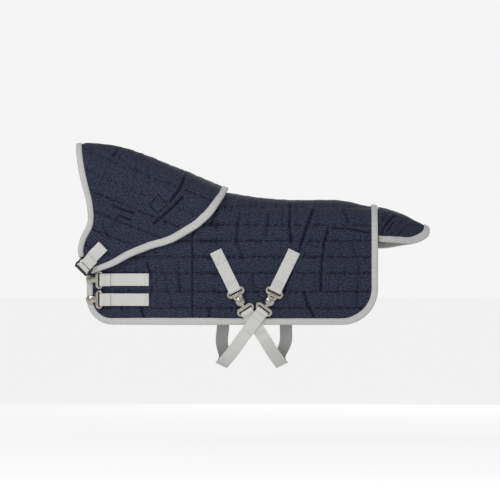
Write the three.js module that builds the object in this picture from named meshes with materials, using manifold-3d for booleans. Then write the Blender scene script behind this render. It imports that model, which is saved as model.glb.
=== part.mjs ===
// A quilted pony rug with a neck cover and a tail flap, as worn: an arch of two quilted sides joined along the
// back seam, closed at the chest by two clips, at the throat by a slide and tab, and under the belly by two
// crossed elastic surcingles. Millimetres. +X runs to the tail, -Y to the near side, +Z up. The origin is on the
// inner face of the back seam, midway between the withers and the rear edge.
import * as THREE from "three";

import Module from "manifold-3d";

const wasm = await Module();
wasm.setup();

// ---- Driving dimensions ----
const BACK_LENGTH = 182; // withers to rear edge, along the back
const SHOULDER_REACH = 168; // withers forward to the chest edge
const BODY_DROP = 149.5; // back seam down to the hem
const BODY_HALF_WIDTH = 56; // back seam out to the widest part of a side
const NECK_REACH = 181; // withers forward to the poll
const NECK_RISE = 53; // withers up to the poll
const NECK_HALF_WIDTH = 27; // at the poll
const THROAT_RISE = 62.5; // hem up to the lower corner of the neck cover
const TAIL_LENGTH = 61; // rear edge to the tip of the tail flap
const TAIL_HALF_WIDTH = 38; // at the flap's root
const TAIL_DROP = 41; // depth of the flap's near side at its root
const CREST_ROUND = 45; // depth over which the back rounds over into the side
const FRONT_CORNER = 30; // radius of the hem's front corner
const REAR_CORNER = 42; // radius of the hem's rear corner

const SHELL = 0.6; // outer fabric
const WADDING = 2.2; // filling between the fabrics
const WADDING_AT_EDGE = 0.4; // filling where the binding pinches it
const LINING = 0.6;
const LAYER_GAP = 0.3; // left between touching layers
const SEAM_GAP = 0.3; // left between the near and off sides along the back seam
const PINCH_WIDTH = 13; // over which the filling thins towards an edge
const THROAT_FLARE = 4; // neck cover stands this much further out where it passes over the chest clips
const NECK_CLEARANCE = 3; // neck cover's lining above the body's fabric
const NECK_OVERLAP = 12; // neck cover laps the body's neckline by this much
const BINDING_WIDTH = 7.4;
const BINDING = 0.6; // binding tape's thickness
const BINDING_GAP = 0.8;

const STRAP_WIDTH = 15;
const WEBBING = 1.1; // strap thickness
const STRAP_GAP = 0.5; // strap above the fabric
const CHEST_STRAP_LENGTH = 56; // webbing bar back to the sewn end
const CHEST_STRAP_PITCH = 24.2; // between the two chest straps
const TAB_LENGTH = 52; // of a surcingle's sewn tab, to its webbing bar
const TAB_TILT = 26; // degrees from upright
const TAB_SPREAD = 49.6; // between the two surcingle tabs, at their webbing bars
const TAB_FOOT = 41; // webbing bars above the hem
const FRONT_ELASTIC_TILT = 33; // degrees from upright, below the clip
const REAR_ELASTIC_TILT = 37;
const FRONT_ELASTIC_LEAN = 7; // its sewn end on the off side lies this much further back than upright
const BELLY_DROP = 50.5; // hem down to the lowest point of the elastic
const PLATE = 1.6; // thickness of the pressed metal clip plates
const LOOP_WIDTH = 9.6; // of a clip's webbing loop, along the strap
const LOOP_SLOT = 4.4;
const LOOP_END = 3.4; // metal beyond the slot at each end
const SLOT_CLEARANCE = 0.6; // slot beyond the webbing at each side
const CLIP_REACH = 15.5; // webbing bar to the centre of the dome
const DOME_RADIUS = 5.5;
const DOME_HEIGHT = 3.2;
const DOME_CAVITY = 3.9;
const CAVITY_DEPTH = 2;
const STUD_RADIUS = 2.8;
const STUD_HEIGHT = 1.6;
const STUD_NECK = 4;
const MOUTH = 7.8; // opening in the dome's rim for the stud's neck
const DOME_NECK = 8;
const SLIDE_LENGTH = 21; // throat slide, across the strap
const SLIDE_FRONT_WINDOW = 2.4;
const SLIDE_REAR_WINDOW = 4.1;
const SLIDE_BAR = 2.2;
const SLIDE_TILT = 45; // degrees the throat tab climbs backwards
const THROAT_TAB_LENGTH = 27;
const PATCH = 0.8; // thickness of the hook-and-loop patch

const WITHERS_X = -BACK_LENGTH / 2;
const REAR_X = BACK_LENGTH / 2;
const CHEST_X = WITHERS_X - SHOULDER_REACH;
const POLL_X = WITHERS_X - NECK_REACH;
const SEAT = SHELL + WADDING + LINING + 2 * LAYER_GAP; // full thickness of the quilt
const HEM_Z = SEAT - BODY_DROP;
const THROAT_Z = HEM_Z + THROAT_RISE; // lowest point of the neck cover's fabric
const EDGE_THICKNESS = SHELL + WADDING_AT_EDGE + LINING + 2 * LAYER_GAP;
const CHEST_HALF_WIDTH = EDGE_THICKNESS + BINDING + BINDING_GAP + 1.5; // at the chest edge
const SLOT_LENGTH = STRAP_WIDTH + 2 * SLOT_CLEARANCE;
const BAR = (LOOP_WIDTH - LOOP_SLOT) / 2;
const EYE_INNER = Math.hypot(BAR / 2, PLATE / 2) + 0.3; // strap's eye around the bar, free to turn
const EYE_OUTER = EYE_INNER + WEBBING + 0.1;
const BAR_LIFT = EYE_OUTER + STRAP_GAP; // bar's axis above the fabric

// ---- Helpers ----
const V = (x, y, z) => new THREE.Vector3(x, y, z);
const clamp01 = (t) => Math.min(Math.max(t, 0), 1);
const smooth = (t) => clamp01(t) ** 2 * (3 - 2 * clamp01(t));
const mix = (a, b, t) => a + (b - a) * t;
const radians = THREE.MathUtils.degToRad;
const spread = (n, make) => Array.from({ length: n + 1 }, (_, i) => make(i / n));

// A smooth height over x through a few points, straight beyond its ends.
function heightLine(points) {
  const slopes = points.map((p, i) => {
    const before = points[Math.max(i - 1, 0)];
    const after = points[Math.min(i + 1, points.length - 1)];
    return (after[1] - before[1]) / (after[0] - before[0]);
  });
  return (x) => {
    const after = points.findIndex((p) => p[0] > x);
    if (after <= 0) {
      const i = after === 0 ? 0 : points.length - 1;
      return points[i][1] + slopes[i] * (x - points[i][0]);
    }
    const i = after - 1;
    const span = points[after][0] - points[i][0];
    const t = (x - points[i][0]) / span;
    const rise = mix(points[i][1], points[after][1], t * t * (3 - 2 * t));
    return rise + span * t * (1 - t) * (slopes[i] * (1 - t) - slopes[after] * t);
  };
}

// ---- The worn form ----
// A skin is a surface over x and the distance a round the section from the crest, near side positive. Down to
// the round's depth the section is a quarter ellipse; below that it stands at the side's half width.
function makeSkin(crest, halfWidth, round) {
  const quarter = (round * Math.PI) / 2;
  const point = (x, a) => {
    const turn = Math.min(Math.abs(a) / round, Math.PI / 2);
    const depth = round * (1 - Math.cos(turn)) + Math.max(Math.abs(a) - quarter, 0);
    const z = crest(x) - depth;
    return V(x, -Math.sign(a) * halfWidth(x, z) * Math.sin(turn), z);
  };
  const normal = (x, a) => {
    const step = 0.05;
    const along = point(x + step, a).sub(point(x - step, a));
    const around = point(x, a + step).sub(point(x, a - step));
    return around.cross(along).normalize();
  };
  return {
    crest,
    normal,
    // Distance round the section at which the skin is at height z.
    around(x, z) {
      const depth = Math.max(crest(x) - z, 0);
      return depth < round ? round * Math.acos(1 - depth / round) : quarter + depth - round;
    },
    // The point lift outside the skin, moved half a seam gap off the middle plane.
    at(x, a, lift = 0, seam = SEAM_GAP / 2) {
      const p = point(x, a).addScaledVector(normal(x, a), lift);
      p.y -= seam;
      return p;
    },
  };
}

const backPoint = (share, rise) => [WITHERS_X + share * BACK_LENGTH, SEAT + rise];
const neckPoint = (share, rise) => [WITHERS_X - share * NECK_REACH, SEAT + 9 + rise * NECK_RISE];
const bodyCrest = heightLine([
  neckPoint(1, 1.01),
  neckPoint(0.9, 1),
  neckPoint(0.7, 0.91),
  neckPoint(0.51, 0.7),
  neckPoint(0.4, 0.54),
  neckPoint(0.26, 0.355),
  neckPoint(0.13, 0.16),
  neckPoint(0.03, 0.03),
  backPoint(0.06, 7.2),
  backPoint(0.22, 2.7),
  backPoint(0.43, 0),
  backPoint(0.72, 0),
  backPoint(0.81, -1.7),
  backPoint(0.92, -5.6),
  backPoint(1, -7.6),
]);
// Half width in plan: a bow that opens out backwards from the chest and draws in again at the rump.
const planWidth = (x) => {
  const share = (x - CHEST_X) / (0.97 * SHOULDER_REACH);
  const soft = 0.08; // rounds the start of the bow
  const t = clamp01(share > soft ? share : Math.max(share + soft, 0) ** 2 / (4 * soft));
  const rump = 1 - 0.17 * smooth((x - 0.05 * BACK_LENGTH) / (0.45 * BACK_LENGTH));
  return mix(CHEST_HALF_WIDTH, BODY_HALF_WIDTH, 1 - (1 - t) ** 1.7) * rump;
};
const bodyWidth = (x, z) => {
  const neck = mix(NECK_HALF_WIDTH, planWidth(x), smooth((x - POLL_X) / (0.92 * NECK_REACH)));
  const tuck = 1 - 0.05 * smooth((-z - 0.45 * BODY_DROP) / (0.55 * BODY_DROP));
  return mix(planWidth(x), neck, smooth((z - THROAT_Z + 22) / 115)) * tuck;
};
const body = makeSkin(bodyCrest, bodyWidth, CREST_ROUND);

// ---- Outlines, in side view ----
const neckRear = heightLine([
  [CHEST_X + 8, THROAT_Z],
  [CHEST_X + 17, THROAT_Z + 0.3],
  [CHEST_X + 24, THROAT_Z + 2.8],
  [CHEST_X + 39, THROAT_Z + 12],
  [CHEST_X + 55, THROAT_Z + 20],
  [CHEST_X + 78, THROAT_Z + 29],
  [CHEST_X + 106, THROAT_Z + 38],
  [CHEST_X + 130.5, THROAT_Z + 52.5],
  [WITHERS_X - 17.5, THROAT_Z + 70],
  [WITHERS_X - 8.3, THROAT_Z + 83],
  [WITHERS_X, bodyCrest(WITHERS_X)],
]);
const neckline = (x) => Math.min(neckRear(x + 0.45 * NECK_OVERLAP) + NECK_OVERLAP, bodyCrest(x));
const cornerDrop = (radius, inside) => radius - Math.sqrt(Math.max(radius ** 2 - Math.max(inside, 0) ** 2, 0));
const hemline = (x) =>
  HEM_Z + cornerDrop(FRONT_CORNER, CHEST_X + FRONT_CORNER - x) + cornerDrop(REAR_CORNER, x - REAR_X + REAR_CORNER);

// ---- Solids from grids ----
function solid(positions, triangles) {
  const geometry = new THREE.BufferGeometry();
  geometry.setAttribute("position", new THREE.Float32BufferAttribute(positions.flatMap((p) => p.toArray()), 3));
  let volume = 0;
  for (const [i, j, k] of triangles)
    volume += positions[i].dot(new THREE.Vector3().crossVectors(positions[j], positions[k]));
  geometry.setIndex(volume < 0 ? triangles.flatMap(([i, j, k]) => [i, k, j]) : triangles.flat());
  return geometry;
}

// A curved slab: place(i, j, face) gives the points of its outer (0) and inner (1) faces.
function slab(columns, rows, place) {
  const positions = [];
  const triangles = [];
  const index = (face, i, j) => (face * (columns + 1) + i) * (rows + 1) + j;
  const quad = (a, b, c, d) => triangles.push([a, b, c], [a, c, d]);
  for (const face of [0, 1])
    for (let i = 0; i <= columns; i++) for (let j = 0; j <= rows; j++) positions.push(place(i, j, face));
  for (let i = 0; i < columns; i++)
    for (let j = 0; j < rows; j++) {
      quad(index(0, i, j), index(0, i + 1, j), index(0, i + 1, j + 1), index(0, i, j + 1));
      // Both faces split along the same diagonal, so thin layers stay parallel.
      triangles.push([index(1, i, j), index(1, i + 1, j + 1), index(1, i + 1, j)]);
      triangles.push([index(1, i, j), index(1, i, j + 1), index(1, i + 1, j + 1)]);
    }
  for (let i = 0; i < columns; i++) {
    quad(index(0, i + 1, 0), index(0, i, 0), index(1, i, 0), index(1, i + 1, 0));
    quad(index(0, i, rows), index(0, i + 1, rows), index(1, i + 1, rows), index(1, i, rows));
  }
  for (let j = 0; j < rows; j++) {
    quad(index(0, 0, j), index(0, 0, j + 1), index(1, 0, j + 1), index(1, 0, j));
    quad(index(0, columns, j + 1), index(0, columns, j), index(1, columns, j), index(1, columns, j + 1));
  }
  return solid(positions, triangles);
}

// A bar of changing section: a ring of points at every station, in the same order; cap triangulates a ring.
function sweep(rings, cap) {
  const n = rings[0].length;
  const triangles = [];
  for (let i = 0; i + 1 < rings.length; i++)
    for (let k = 0; k < n; k++) {
      const [a, b] = [i * n + k, i * n + ((k + 1) % n)];
      triangles.push([a, b, b + n], [a, b + n, a + n]);
    }
  const last = (rings.length - 1) * n;
  for (const [i, j, k] of cap) triangles.push([i, k, j], [last + i, last + j, last + k]);
  return solid(rings.flat(), triangles);
}

// ---- Quilted layers ----
const filling = (distance) => mix(WADDING_AT_EDGE, WADDING, smooth(distance / PINCH_WIDTH));
const quiltDepth = (fill) => SHELL + fill + LINING + 2 * LAYER_GAP;

// Depth of a layer's outer or inner face below the quilt's outer face.
function layerDepth(layer, fill, face) {
  const wadding = SHELL + LAYER_GAP;
  if (layer === "shell") return face * SHELL;
  if (layer === "wadding") return wadding + face * fill;
  return wadding + fill + LAYER_GAP + face * LINING;
}

const turn = (n, make) => spread(n, (t) => make((t * Math.PI) / 2));
const bodyXs = [
  ...turn(4, (t) => CHEST_X + FRONT_CORNER * (1 - Math.cos(t))),
  ...spread(8, (t) => mix(CHEST_X + FRONT_CORNER, REAR_X - REAR_CORNER, t)).slice(1, -1),
  ...turn(5, (t) => REAR_X - REAR_CORNER * (1 - Math.sin(t))),
];
const BODY_COLUMNS = bodyXs.length - 1;
const BODY_ROWS = 10;
function bodyGrid(i, j) {
  const x = bodyXs[i];
  const v = j / BODY_ROWS;
  return new THREE.Vector2(x, mix(body.around(x, neckline(x)), body.around(x, hemline(x)), mix(v, v * v, 0.6)));
}
const bodyFilling = (p) => filling(Math.min(p.x - CHEST_X, REAR_X - p.x, body.around(p.x, hemline(p.x)) - p.y));
const bodyLayer = (layer) =>
  slab(BODY_COLUMNS, BODY_ROWS, (i, j, face) => {
    const p = bodyGrid(i, j);
    return body.at(p.x, p.y, -layerDepth(layer, bodyFilling(p), face));
  });

const onBody = (x, z) => new THREE.Vector2(x, body.around(x, z));
const CREST = 1e3; // above any crest
const neckFront = [
  [0, CREST],
  [0, 147],
  [0.6, 140],
  [2.4, 128],
  [4.6, 117],
  [7.5, 105],
  [13.4, 81],
  [14.2, 60],
  [6.2, 43],
  [2.8, 30],
  [4, 20],
].map(([back, rise]) => onBody(POLL_X + back, THROAT_Z + rise));
const neckBack = [0, 0.02, 0.05, 0.11, 0.17, 0.235, 0.39, 0.56, 0.71, 0.84, 1].map((share) => {
  const x = mix(WITHERS_X, CHEST_X + 8, share);
  return onBody(x, share === 0 ? CREST : neckRear(x));
});
const NECK_ROWS = neckFront.length - 1;
const NECK_COLUMNS = 11;
const neckWidth = (j) => neckFront[j].distanceTo(neckBack[j]);
// The outermost columns lie a binding's width in from the edges.
function neckShare(i, j) {
  const margin = Math.min(BINDING_WIDTH / neckWidth(j), 0.3);
  if (i === 0 || i === NECK_COLUMNS) return i / NECK_COLUMNS;
  return mix(margin, 1 - margin, (i - 1) / (NECK_COLUMNS - 2));
}
const neckGrid = (i, j) => neckFront[j].clone().lerp(neckBack[j], neckShare(i, j));
const toEdge = (p, edge) =>
  Math.min(
    ...edge.slice(1).map((end, i) => {
      const run = end.clone().sub(edge[i]);
      const share = clamp01(p.clone().sub(edge[i]).dot(run) / run.lengthSq());
      return p.distanceTo(edge[i].clone().addScaledVector(run, share));
    }),
  );
const neckFilling = (p) => filling(Math.min(toEdge(p, neckFront), toEdge(p, neckBack)));
const neckInner = (p) => {
  const z = body.crest(p.x) - Math.max(p.y - (CREST_ROUND * Math.PI) / 2 + CREST_ROUND, 0);
  return NECK_CLEARANCE + THROAT_FLARE * smooth((THROAT_Z + 54 - z) / 50) * smooth((CHEST_X + 70 - p.x) / 47);
};
const neckLayer = (layer) =>
  slab(NECK_COLUMNS, NECK_ROWS, (i, j, face) => {
    const p = neckGrid(i, j);
    const fill = neckFilling(p);
    return body.at(p.x, p.y, neckInner(p) + quiltDepth(fill) - layerDepth(layer, fill, face));
  });

// ---- Tail flap: a small hood hung inside the rear edge, its off side a little lower ----
const TAIL_GAP = 1; // behind the body's rear binding
const TAIL_FILLING = 0.5; // of the body's filling
const TAIL_ROUND = 24;
const OFF_SIDE_SAG = 8;
const TAIL_X = REAR_X + BINDING + BINDING_GAP + TAIL_GAP;
const TAIL_TIP_X = TAIL_X + TAIL_LENGTH;
const tailPoint = (share, drop) => [TAIL_X + share * TAIL_LENGTH, bodyCrest(REAR_X) - drop];
const tailCrest = heightLine([
  tailPoint(0, 0.6),
  tailPoint(0.18, 2.6),
  tailPoint(0.58, 12),
  tailPoint(0.9, 22.5),
  tailPoint(1, 26.5),
]);
const tailShare = (x) => (x - TAIL_X) / TAIL_LENGTH;
const tailWidth = (x) => mix(TAIL_HALF_WIDTH, 0.4 * TAIL_HALF_WIDTH, smooth(tailShare(x)));
const tail = makeSkin(tailCrest, tailWidth, TAIL_ROUND);
const tailHem = (x, side) => {
  const t = clamp01(tailShare(x));
  const low = tailCrest(TAIL_X) - TAIL_DROP - 4 * t - (side < 0 ? OFF_SIDE_SAG * (1 - smooth(1.3 * t)) : 0);
  const rounding = Math.sqrt(Math.max(1 - clamp01((t - 0.6) / 0.4) ** 2, 0));
  return side * tail.around(x, mix(tailCrest(x) - 3, low, rounding));
};
const tailXs = turn(8, (t) => mix(TAIL_X, TAIL_TIP_X, Math.sin(t)));
const TAIL_ROWS = 12;
function tailGrid(i, j) {
  const share = 1 - (2 * j) / TAIL_ROWS;
  return new THREE.Vector2(tailXs[i], Math.abs(share) * tailHem(tailXs[i], share < 0 ? -1 : 1));
}
const tailFilling = (p) => {
  const side = p.y < 0 ? -1 : 1;
  return TAIL_FILLING * filling(Math.min(Math.abs(tailHem(p.x, side) - p.y), TAIL_TIP_X - p.x));
};
const tailLayer = (layer) =>
  slab(tailXs.length - 1, TAIL_ROWS, (i, j, face) => {
    const p = tailGrid(i, j);
    return tail.at(p.x, p.y, -layerDepth(layer, tailFilling(p), face), 0);
  });

// ---- Binding: a U of tape over an edge, given as points (x, a) with the cloth on the path's right ----
const U_CAP = [[0, 1, 6], [0, 6, 7], [1, 2, 5], [1, 5, 6], [2, 3, 4], [2, 4, 5]];
function binding(path, skin, outerLift, depthAt, seam = SEAM_GAP / 2) {
  const rings = path.map((p, i) => {
    const run = path[Math.min(i + 1, path.length - 1)].clone().sub(path[Math.max(i - 1, 0)]).normalize();
    const halved = seam > 0; // this binding ends at the back seam, which it must not cross
    const inward = halved && p.y < 0.1 ? new THREE.Vector2(Math.sign(run.y - run.x), 0) : new THREE.Vector2(run.y, -run.x);
    const step = (distance) => {
      const q = p.clone().addScaledVector(inward, distance);
      if (halved) q.y = Math.max(q.y, 0);
      return q;
    };
    const inner = step(BINDING_WIDTH);
    const face = (q, from, side, away) => {
      const lift = outerLift(from) + (side > 0 ? away : -depthAt(from) - away);
      return skin.at(q.x, q.y, lift, seam);
    };
    const [near, far] = [BINDING_GAP, BINDING_GAP + BINDING];
    return [
      face(inner, inner, 1, near),
      face(step(-near), p, 1, near),
      face(step(-near), p, -1, near),
      face(inner, inner, -1, near),
      face(inner, inner, -1, far),
      face(step(-far), p, -1, far),
      face(step(-far), p, 1, far),
      face(inner, inner, 1, far),
    ];
  });
  return sweep(rings, U_CAP);
}

const bodyDepth = (p) => quiltDepth(bodyFilling(p));
const CHEST_TOP = THROAT_Z - 5; // the chest edge's binding starts here, clear of the neck cover
const bodyEdge = [
  onBody(CHEST_X, CHEST_TOP),
  onBody(CHEST_X, mix(CHEST_TOP, HEM_Z + FRONT_CORNER, 0.5)),
  ...bodyXs.slice(0, -1).map((x) => onBody(x, hemline(x))),
  ...spread(BODY_ROWS, (t) => bodyGrid(BODY_COLUMNS, BODY_ROWS * (1 - t))),
];
const neckDepth = (p) => quiltDepth(neckFilling(p));
const neckOuter = (p) => neckInner(p) + neckDepth(p);
const tailDepth = (p) => quiltDepth(tailFilling(p));
const tailEdge = [
  ...tailXs.map((x) => new THREE.Vector2(x, tailHem(x, 1))),
  ...spread(TAIL_ROWS - 2, (t) => tailGrid(tailXs.length - 1, 1 + t * (TAIL_ROWS - 2))),
  ...[...tailXs].reverse().map((x) => new THREE.Vector2(x, tailHem(x, -1))),
];

const sewn = {};
const both = (name, geometry, material) => {
  sewn[`${name}_near`] = [geometry, material];
  sewn[`${name}_off`] = [mirrored(geometry), material];
};
function mirrored(geometry) {
  const copy = geometry.clone().applyMatrix4(new THREE.Matrix4().makeScale(1, -1, 1));
  const index = [...copy.index.array];
  for (let i = 0; i < index.length; i += 3) [index[i + 1], index[i + 2]] = [index[i + 2], index[i + 1]];
  copy.setIndex(index);
  return copy;
}

const material = (color, roughness, metalness = 0) => new THREE.MeshStandardMaterial({ color, roughness, metalness });
const materials = {
  shell: material(0x2c3044, 0.85),
  wadding: material(0xe6e4de, 1),
  lining: material(0x3a3f52, 0.8),
  binding: material(0xc2c3c2, 0.8),
  webbing: material(0xc6c6c3, 0.8),
  elastic: material(0xcacac8, 0.8),
  nickel: material(0xc9c4ba, 0.25, 1),
  plastic: material(0x17171a, 0.5),
};

for (const layer of ["shell", "wadding", "lining"]) {
  both(`body_${layer}`, bodyLayer(layer), materials[layer]);
  both(`neck_${layer}`, neckLayer(layer), materials[layer]);
}
both("body_binding", binding(bodyEdge, body, () => 0, bodyDepth), materials.binding);
both("neck_front_binding", binding(neckFront, body, neckOuter, neckDepth), materials.binding);
both("neck_rear_binding", binding([...neckBack].reverse(), body, neckOuter, neckDepth), materials.binding);
sewn.tail_flap_shell = [tailLayer("shell"), materials.shell];
sewn.tail_flap_wadding = [tailLayer("wadding"), materials.wadding];
sewn.tail_flap_lining = [tailLayer("lining"), materials.lining];
sewn.tail_flap_binding = [binding(tailEdge, tail, () => 0, tailDepth, 0), materials.binding];

// ---- Webbing ----
// A flat band along a path: points and, at each, the direction across the band.
function band(stations, width = STRAP_WIDTH, thickness = WEBBING) {
  const rings = stations.map(({ at, across }, i) => {
    const run = stations[Math.min(i + 1, stations.length - 1)].at.clone().sub(stations[Math.max(i - 1, 0)].at);
    const thick = run.cross(across).normalize().multiplyScalar(thickness / 2);
    const wide = across.clone().multiplyScalar(width / 2);
    const corner = (w, t) => at.clone().addScaledVector(wide, w).addScaledVector(thick, t);
    return [corner(-1, -1), corner(1, -1), corner(1, 1), corner(-1, 1)];
  });
  return sweep(rings, [[0, 1, 2], [0, 2, 3]]);
}

const asManifold = (geometry) => {
  const { Manifold, Mesh } = wasm;
  const positions = Float32Array.from(geometry.attributes.position.array);
  const mesh = new Mesh({ numProp: 3, vertProperties: positions, triVerts: Uint32Array.from(geometry.index.array) });
  mesh.merge();
  return new Manifold(mesh);
};
const asGeometry = (manifold) => {
  const mesh = manifold.getMesh();
  const geometry = new THREE.BufferGeometry();
  geometry.setAttribute("position", new THREE.BufferAttribute(mesh.vertProperties, 3));
  geometry.setIndex(new THREE.BufferAttribute(mesh.triVerts, 1));
  return geometry;
};

// A seat on the near side at (x, z): run is the direction in side view, tangent to the cloth, out is its normal.
function seat(x, z, runX, runZ, lift) {
  const p = onBody(x, z);
  const out = body.normal(p.x, p.y);
  const run = V(runX, 0, runZ);
  run.addScaledVector(out, -run.dot(out)).normalize();
  return { at: body.at(p.x, p.y, lift), run, out, across: out.clone().cross(run) };
}
const seatMatrix = ({ at, run, out, across }) => new THREE.Matrix4().makeBasis(run, across, out).setPosition(at);

// The webbing's eye round a bar at the origin, which lies along y.
function eye() {
  const { Manifold } = wasm;
  const tube = (r, length) => Manifold.cylinder(length, r, r, 16, true).rotate([90, 0, 0]);
  return tube(EYE_OUTER, STRAP_WIDTH - 0.2).subtract(tube(EYE_INNER, STRAP_WIDTH + 2));
}
const eyeAt = (matrix) => asGeometry(eye()).applyMatrix4(matrix);
const joined = (...geometries) => asGeometry(geometries.map(asManifold).reduce((a, b) => a.add(b)));

// ---- Clip plates, in their own frame: x runs from the webbing bar to the stud, z outwards, bar at the origin ----
function loopPlate() {
  const { Manifold } = wasm;
  const length = SLOT_LENGTH + 2 * LOOP_END;
  const round = (w, l, h) => {
    const end = Manifold.cylinder(h, w / 2, w / 2, 20, true);
    const straight = Manifold.cube([w, l - w, h], true);
    return straight.add(end.translate([0, (l - w) / 2, 0])).add(end.translate([0, -(l - w) / 2, 0]));
  };
  const slot = Manifold.cube([LOOP_SLOT, SLOT_LENGTH, 2 * PLATE], true);
  return round(LOOP_WIDTH, length, PLATE).subtract(slot).translate([(LOOP_SLOT + BAR) / 2, 0, 0]);
}
const NECK_START = LOOP_SLOT + BAR / 2 + 0.4 * BAR; // well inside the loop's stud-side bar

function domePlate() {
  const { Manifold } = wasm;
  const cylinder = (h, low, high) => Manifold.cylinder(h, low, high, 28);
  const bridge = Manifold.cube([CLIP_REACH - NECK_START, DOME_NECK, PLATE], true);
  const crown = cylinder(PLATE, DOME_RADIUS, DOME_RADIUS).add(
    cylinder(DOME_HEIGHT - PLATE, DOME_RADIUS, 0.62 * DOME_RADIUS).translate([0, 0, PLATE]),
  );
  const cavity = cylinder(CAVITY_DEPTH + 1, DOME_CAVITY, DOME_CAVITY).translate([0, 0, -1]);
  const mouth = Manifold.cube([2 * DOME_RADIUS, MOUTH, CAVITY_DEPTH + 1], false).translate([0, -MOUTH / 2, -1]);
  return loopPlate()
    .add(bridge.translate([(CLIP_REACH + NECK_START) / 2, 0, 0]))
    .add(crown.translate([CLIP_REACH, 0, -PLATE / 2]))
    .subtract(cavity.add(mouth).translate([CLIP_REACH, 0, -PLATE / 2]));
}

function studPlate() {
  const { Manifold } = wasm;
  const bridge = Manifold.cube([CLIP_REACH - NECK_START, STUD_NECK, PLATE], true);
  return loopPlate()
    .add(bridge.translate([(CLIP_REACH + NECK_START) / 2, 0, 0]))
    .add(Manifold.cylinder(STUD_HEIGHT, STUD_RADIUS, STUD_RADIUS, 24).translate([CLIP_REACH, 0, -PLATE / 2]));
}
const plateAt = (make, matrix) => asGeometry(make()).applyMatrix4(matrix);

// ---- Chest clips: a dome plate on each near strap, a stud plate on each off strap ----
const CHEST_BAR_X = CHEST_X + CLIP_REACH + 3.2;
const CHEST_STRAP_Z = THROAT_Z - 9.4; // middle of the upper strap
const chestAxes = [0, 1].map((i) => {
  const z = CHEST_STRAP_Z - i * CHEST_STRAP_PITCH;
  const bar = seat(CHEST_BAR_X, z, -1, 0, BAR_LIFT);
  const backwards = spread(5, (t) => {
    const { at, across } = seat(CHEST_BAR_X + t * CHEST_STRAP_LENGTH, z, 1, 0, STRAP_GAP + WEBBING / 2);
    return { at, across };
  });
  const level = i === 0 ? "upper" : "lower";
  const strap = joined(band(backwards), eyeAt(seatMatrix(bar)));
  both(`chest_strap_${level}`, strap, materials.webbing);
  sewn[`chest_dome_plate_${level}`] = [plateAt(domePlate, seatMatrix(bar)), materials.nickel];
  sewn[`chest_stud_plate_${level}`] = [mirrored(plateAt(studPlate, seatMatrix(bar))), materials.nickel];
  return bar;
});

// ---- Surcingles: two crossed elastics; each hangs from a stud plate that hooks under a tab's dome plate ----
const SURCINGLE_X = WITHERS_X + 0.191 * BACK_LENGTH; // midway between the two tabs
const surcingles = ["front", "rear"].map((name, i) => {
  const away = i === 0 ? -1 : 1; // from the middle towards this tab
  const slope = [Math.sin(radians(TAB_TILT)), Math.cos(radians(TAB_TILT))];
  const barX = SURCINGLE_X + (away * TAB_SPREAD) / 2;
  const bar = seat(barX, HEM_Z + TAB_FOOT, -away * slope[0], -slope[1], BAR_LIFT);
  const tabStations = spread(3, (t) => {
    const reach = t * TAB_LENGTH;
    const x = barX + away * slope[0] * reach;
    return seat(x, HEM_Z + TAB_FOOT + slope[1] * reach, away * slope[0], slope[1], STRAP_GAP + WEBBING / 2);
  });
  sewn[`surcingle_tab_${name}`] = [joined(band(tabStations), eyeAt(seatMatrix(bar))), materials.webbing];
  sewn[`surcingle_dome_plate_${name}`] = [plateAt(domePlate, seatMatrix(bar)), materials.nickel];

  // The stud plate lies in the dome plate's plane, turned about the stud to point down the elastic.
  const stud = bar.at.clone().addScaledVector(bar.run, CLIP_REACH);
  const tilt = i === 0 ? FRONT_ELASTIC_TILT : REAR_ELASTIC_TILT;
  const bend = radians(tilt - TAB_TILT) * (i === 0 ? 1 : -1);
  const down = bar.run.clone().applyAxisAngle(bar.out, bend);
  const lower = { at: stud.clone().addScaledVector(down, CLIP_REACH), run: down.clone().negate(), out: bar.out };
  lower.across = lower.out.clone().cross(lower.run);
  sewn[`surcingle_stud_plate_${name}`] = [plateAt(studPlate, seatMatrix(lower)), materials.nickel];

  return { name, away, tilt, down, lower };
});

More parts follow.
